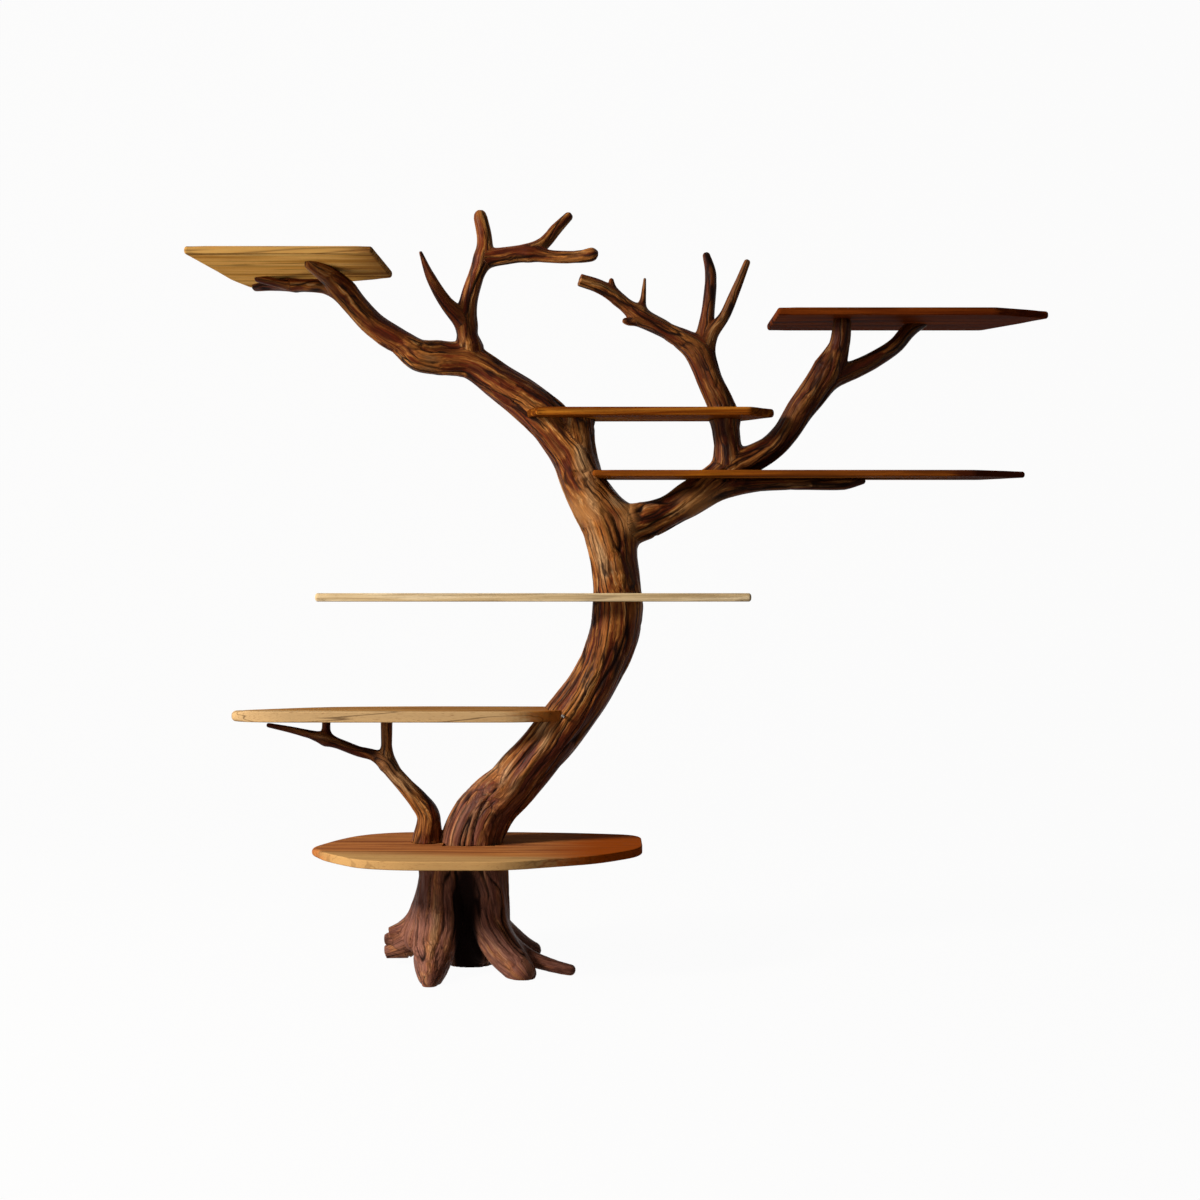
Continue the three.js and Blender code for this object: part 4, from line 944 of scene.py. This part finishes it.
def board_wood(name, light, middle, dark, streaks, shift, ends=None, front=None, gloss=0.56):
    """Planed and varnished board: fine fibres, slow growth bands and long dark streaks along X.

    ends is (colour, start, end in metres along X) for a tone at one end: heartwood, or painted shade at
    the ends of the upper middle and lower right boards. front is (colour, start, end, slant) for a band
    along the front edge, in metres of Y + slant X: paler sapwood, or painted shade on the top left board.
    """
    material, tree = new_material(name)
    light, middle, dark = linear(light), linear(middle), linear(dark)
    spot = axes_of(tree, object_place(tree))
    place = add_node(tree, "ShaderNodeMapping", {
        "Vector": object_place(tree), "Location": shift, "Rotation": (0.0, 0.02, 0.015)}).outputs["Vector"]
    band = stretched(tree, place, 26, 620, warp=0.8)
    growth = stretched(tree, place, 6.5, 330, rough=0.6, warp=0.3)
    fibre = stretched(tree, place, 1.6, 38, detail=2.0)
    pores = stretched(tree, place, 1.3, 16, detail=1.0)
    veins = vein_lines(tree, place, 34, 900, 0.03, 0.3)
    colour = ramp(tree, band, [(0.30, dark), (0.47, middle), (0.66, light)])
    colour = layered(tree, colour, [(growth, 0.50, 0.36, 0.45, dark), (growth, 0.56, 0.74, 0.4, light)])
    if front:
        front_tone, start, end, slant = front
        depth = combine(tree, "MULTIPLY_ADD", spot[0], slant, spot[1])
        wavy = combine(tree, "MULTIPLY_ADD", combine(tree, "SUBTRACT", band, 0.5), 0.10, depth)
        colour = layered(tree, colour, [(wavy, end, start, 0.85, linear(front_tone))])
    if ends:
        end_tone, start, end = ends
        ragged = combine(tree, "MULTIPLY_ADD", combine(tree, "SUBTRACT", growth, 0.5), 0.25, spot[0])
        colour = layered(tree, colour, [(ragged, start, end, 1.0, linear(end_tone))])
    colour = blend(tree, combine(tree, "MULTIPLY", veins, streaks), colour, linear("#2a1408"))
    colour = layered(tree, colour, [(pores, 0.40, 0.26, 0.5, dark)])
    height = combine(tree, "MULTIPLY_ADD", growth, 0.6, fibre)
    rough = combine(tree, "MULTIPLY_ADD", fibre, 0.12, gloss)
    coat(tree, colour, rough, height, 0.35, 0.3, {"Specular IOR Level": 0.005})
    return material


def zinc_steel(name):
    """Zinc plated steel screws: metal with a faint grey mottling and fine turning marks."""
    material, tree = new_material(name)
    mottle, marks = (
        add_node(tree, "ShaderNodeTexNoise", {
            "Vector": object_place(tree), "Scale": scale, "Detail": detail}).outputs["Fac"]
        for scale, detail in ((420.0, 3.0), (1500.0, 1.0)))
    colour = ramp(tree, mottle, [(0.3, linear("#8d8c88")), (0.7, linear("#c3c2bb"))])
    coat(tree, colour, combine(tree, "MULTIPLY_ADD", mottle, 0.25, 0.24), marks, 0.3, 0.1, {"Metallic": 1.0})
    return material


def background_rays(tree):
    """1 for the rays that show the background: from the camera, off metal and through glass."""
    path = add_node(tree, "ShaderNodeLightPath")
    seen = combine(tree, "MAXIMUM", path.outputs["Is Camera Ray"], path.outputs["Is Glossy Ray"])
    return combine(tree, "MAXIMUM", seen, path.outputs["Is Transmission Ray"])


def backdrop_paper(name, colour):
    """White studio paper: matt, but nearly pure white light for the rays that show the background."""
    material, tree = new_material(name)
    grainy = add_node(tree, "ShaderNodeTexNoise", {
        "Vector": object_place(tree), "Scale": 60.0}).outputs["Fac"]
    rough = combine(tree, "MULTIPLY_ADD", grainy, 0.1, 0.85)
    paper = add_node(tree, "ShaderNodeBsdfPrincipled", {"Base Color": colour, "Roughness": rough})
    light = add_node(tree, "ShaderNodeEmission", {"Color": (1, 1, 1, 1), "Strength": 1.0})
    share = combine(tree, "MULTIPLY", background_rays(tree), 0.96)
    mixed = add_node(tree, "ShaderNodeMixShader", {0: share, 1: paper.outputs["BSDF"], 2: light.outputs[0]})
    add_node(tree, "ShaderNodeOutputMaterial", {"Surface": mixed.outputs[0]})
    return material


# Stage

def backdrop_sweep():
    """Floor and backdrop in one: a flat profile that turns up by a quarter circle, carried across X."""
    turn = np.linspace(0, np.pi / 2, 25)
    front, rear, bend, top = -9.0, 3.0, 2.0, 8.0
    floor = np.linspace(-5, rear, 9)
    depth = np.concatenate([[front], floor, rear + bend * np.sin(turn), [rear + bend]])
    height = np.concatenate([[0.0], 0 * floor, bend * (1 - np.cos(turn)), [top]])
    width = np.linspace(front, -front, 13)
    grid_x, grid_y = np.meshgrid(width, depth, indexing="ij")
    grid_z = np.broadcast_to(height, grid_x.shape)
    points = np.stack([grid_x, grid_y, grid_z], axis=-1).reshape(-1, 3)
    column, row = np.meshgrid(np.arange(len(width) - 1), np.arange(len(depth) - 1), indexing="ij")
    here = column * len(depth) + row
    faces = np.stack([here, here + len(depth), here + len(depth) + 1, here + 1], axis=-1).reshape(-1, 4)
    return points, faces


def soft_box(name, place, aim, size, power, colour):
    """A square studio lamp that looks at a point."""
    lamp = bpy.data.lights.new(name, "AREA")
    lamp.shape = "SQUARE"
    lamp.size = size
    lamp.energy = power
    lamp.color = colour
    holder = bpy.data.objects.new(name, lamp)
    holder.location = place
    way = np.array(aim) - np.array(place)
    flat = np.hypot(way[0], way[1])
    holder.rotation_euler = (np.arctan2(flat, -way[2]), 0, np.arctan2(way[1], way[0]) - np.pi / 2)
    bpy.context.scene.collection.objects.link(holder)


# Settings

class BOOKSHELF_tree_settings(bpy.types.PropertyGroup):
    carving: FloatProperty(
        name="Carving depth", description="Depth of swellings and fissures, 1 as on the real tree",
        default=1.0, min=0.0, max=2.0)
    shadow: FloatVectorProperty(
        name="Shadow wood", description="Darkest fibres of the tree", default=linear("#310c03")[:3],
        subtype="COLOR", size=3)


class BOOKSHELF_board_settings(bpy.types.PropertyGroup):
    edge: FloatProperty(
        name="Eased edge", description="Rounding of the boards' edges", default=2.6 * MM,
        min=0.5 * MM, max=6 * MM, unit="LENGTH")


class BOOKSHELF_stage_settings(bpy.types.PropertyGroup):
    key: FloatProperty(
        name="Key light", description="Power of the main lamp", default=540.0, min=0.0, subtype="POWER")
    fill: FloatProperty(
        name="Fill light", description="Power of the second lamp", default=50.0, min=0.0, subtype="POWER")
    sky: FloatProperty(name="Room light", description="Strength of the even light", default=0.10, min=0.0)
    paper: FloatVectorProperty(
        name="Paper", description="Colour of the floor and backdrop", default=linear("#9d9690")[:3],
        subtype="COLOR", size=3)


class BOOKSHELF_OT_tree(bpy.types.Operator):
    """Carves the seven tree pieces and gives them their wood"""
    bl_idname = "bookshelf.tree"
    bl_label = "Tree"

    def execute(self, context):
        settings = context.scene.bookshelf_tree
        shadow = tuple(settings.shadow) + (1.0,)
        limb = limb_wood("varnished_limb_wood", shadow, False)
        root = limb_wood("varnished_root_wood", shadow, True)
        for name, voxel in TREE_PIECES.items():
            points, faces, tints = tree_piece(name, voxel, settings.carving)
            piece = put_mesh(name + "_wood", points, faces, tints=tints)
            if name == "trunk":
                dress(piece, name, root)
            else:
                dress(piece, name, limb)
        return {"FINISHED"}


class BOOKSHELF_OT_boards(bpy.types.Operator):
    """Cuts the seven boards with their slots and eased edges"""
    bl_idname = "bookshelf.boards"
    bl_label = "Boards"

    def execute(self, context):
        edge = context.scene.bookshelf_boards.edge
        woods = {
            # The top left board's darker front band is painted shade: the key lamp lights the front edge more
            # than the underside.
            "shelf_top_left": ("honey_board", board_wood(
                "honey_elm_board", "#f9ca79", "#e7ad56", "#9f6626", 0.5, (0.3, 0.1, 0.0),
                ends=("#5a3012", -0.70, -0.50), front=("#826235", -0.206, -0.198, 0.0), gloss=0.58)),
            "shelf_top_right": ("dark_board", board_wood(
                "dark_walnut_board", "#73340c", "#4f1d06", "#240801", 0.3, (1.3, 0.4, 0.2))),
            # The upper middle board's darker left tip is painted shade over the end that the key lamp lights.
            "shelf_upper_middle": ("orange_board", board_wood(
                "orange_cherry_board", "#a4661f", "#703608", "#401704", 0.3, (2.3, 0.7, 0.1),
                ends=("#4a2306", -0.190, -0.225))),
            # The lower right board's darker right end is painted shade where the end turns away from the
            # light.
            "shelf_lower_right": ("brown_board", board_wood(
                "brown_walnut_board", "#93540f", "#71390f", "#4c2206", 0.3, (3.1, 0.2, 0.5),
                ends=("#3a1608", 0.74, 0.79))),
            "shelf_middle": ("blond_board", board_wood(
                "blond_maple_board", "#cbb795", "#b59c75", "#7e6644", 0.3, (4.2, 0.9, 0.3))),
            "shelf_lower_left": ("beige_board", board_wood(
                "beige_ash_board", "#ab8048", "#8a5c2b", "#562d0e", 0.65, (7.9, 0.52, 0.7),
                ends=("#8a4c1c", -0.28, -0.14), front=("#ad8f66", -0.078, -0.040, 0.08))),
            "shelf_base": ("red_board", board_wood(
                "red_brown_elm_board", "#a86c38", "#925830", "#66351a", 0.3, (6.2, 0.6, 0.4),
                ends=("#843a06", -0.24, -0.06), front=("#aa8654", -0.25, -0.16, 0.15), gloss=0.60)),
        }
        for name, (slot, material) in woods.items():
            points, faces = board_piece(name, edge)
            piece = put_mesh(name + "_board", points, faces, smooth=False)
            dress(piece, name, material)
        return {"FINISHED"}


class BOOKSHELF_OT_fixings(bpy.types.Operator):
    """Gives the dowels, plugs, screws and lag screws their materials"""
    bl_idname = "bookshelf.fixings"
    bl_label = "Fixings"

    def execute(self, context):
        beech = board_wood("beech_dowel", "#d8b483", "#c69c66", "#a47a48", 0.0, (0.0, 0.0, 0.0), gloss=0.5)
        steel = zinc_steel("zinc_plated_steel")
        for name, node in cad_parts.items():
            if name.startswith(("dowel_", "plug_", "screw_", "lag_")):
                node.data.materials.clear()
                node.data.materials.append(beech if name.startswith(("dowel_", "plug_")) else steel)
        return {"FINISHED"}


class BOOKSHELF_OT_stage(bpy.types.Operator):
    """Sets the paper, the lamps, the room light and the camera"""
    bl_idname = "bookshelf.stage"
    bl_label = "Stage"

    def execute(self, context):
        scene = context.scene
        settings = scene.bookshelf_stage
        points, faces = backdrop_sweep()
        paper = put_mesh("backdrop_paper", points, faces)
        paper.data.materials.append(backdrop_paper("studio_paper", tuple(settings.paper) + (1.0,)))
        soft_box("key_lamp", (-4.4, -2.3, 3.0), (0.0, 0.0, 0.9), 1.0, settings.key, (1.0, 0.97, 0.92))
        soft_box("fill_lamp", (-2.8, -3.2, 0.4), (-0.7, 0.0, 1.6), 1.6, settings.fill, (0.95, 0.97, 1.0))
        world = bpy.data.worlds.new("studio_room")
        world.use_nodes = True
        tree = world.node_tree
        tree.nodes.clear()
        even = add_node(tree, "ShaderNodeBackground", {"Color": (1, 1, 1, 1), "Strength": settings.sky})
        white = add_node(tree, "ShaderNodeBackground", {"Color": (1, 1, 1, 1), "Strength": 1.0})
        mixed = add_node(tree, "ShaderNodeMixShader", {
            0: background_rays(tree), 1: even.outputs[0], 2: white.outputs[0]})
        add_node(tree, "ShaderNodeOutputWorld", {"Surface": mixed.outputs[0]})
        scene.world = world
        camera = bpy.data.cameras.new("photo_camera")
        camera.lens = 51.0
        camera.sensor_width = 36.0
        camera.sensor_fit = "HORIZONTAL"
        camera.shift_y = -0.00333
        camera.clip_end = 100.0
        holder = bpy.data.objects.new("photo_camera", camera)
        holder.location = (-0.0675, -4.0514, 0.8949)
        holder.rotation_euler = (np.pi / 2, 0.0, 0.0)
        scene.collection.objects.link(holder)
        scene.camera = holder
        scene.view_settings.view_transform = "Standard"
        return {"FINISHED"}


class BOOKSHELF_PT_panel(bpy.types.Panel):
    bl_label = "Bookshelf"
    bl_idname = "BOOKSHELF_PT_panel"
    bl_space_type = "VIEW_3D"
    bl_region_type = "UI"
    bl_category = "Bookshelf"

    def draw(self, context):
        scene = context.scene
        for settings in (scene.bookshelf_tree, scene.bookshelf_boards, scene.bookshelf_stage):
            for key in settings.__annotations__:
                self.layout.prop(settings, key)
        for operator in OPERATORS:
            self.layout.operator(operator.bl_idname)


OPERATORS = (BOOKSHELF_OT_tree, BOOKSHELF_OT_boards, BOOKSHELF_OT_fixings, BOOKSHELF_OT_stage)
SETTINGS = (BOOKSHELF_tree_settings, BOOKSHELF_board_settings, BOOKSHELF_stage_settings)
CLASSES = SETTINGS + OPERATORS + (BOOKSHELF_PT_panel,)


def register():
    for each in CLASSES:
        bpy.utils.register_class(each)
    bpy.types.Scene.bookshelf_tree = PointerProperty(type=BOOKSHELF_tree_settings)
    bpy.types.Scene.bookshelf_boards = PointerProperty(type=BOOKSHELF_board_settings)
    bpy.types.Scene.bookshelf_stage = PointerProperty(type=BOOKSHELF_stage_settings)


def unregister():
    del bpy.types.Scene.bookshelf_stage
    del bpy.types.Scene.bookshelf_boards
    del bpy.types.Scene.bookshelf_tree
    for each in reversed(CLASSES):
        bpy.utils.unregister_class(each)


def main():
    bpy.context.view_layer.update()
    register()
    bpy.ops.bookshelf.tree()
    bpy.ops.bookshelf.boards()
    bpy.ops.bookshelf.fixings()
    bpy.ops.bookshelf.stage()


if __name__ == "__main__":
    main()
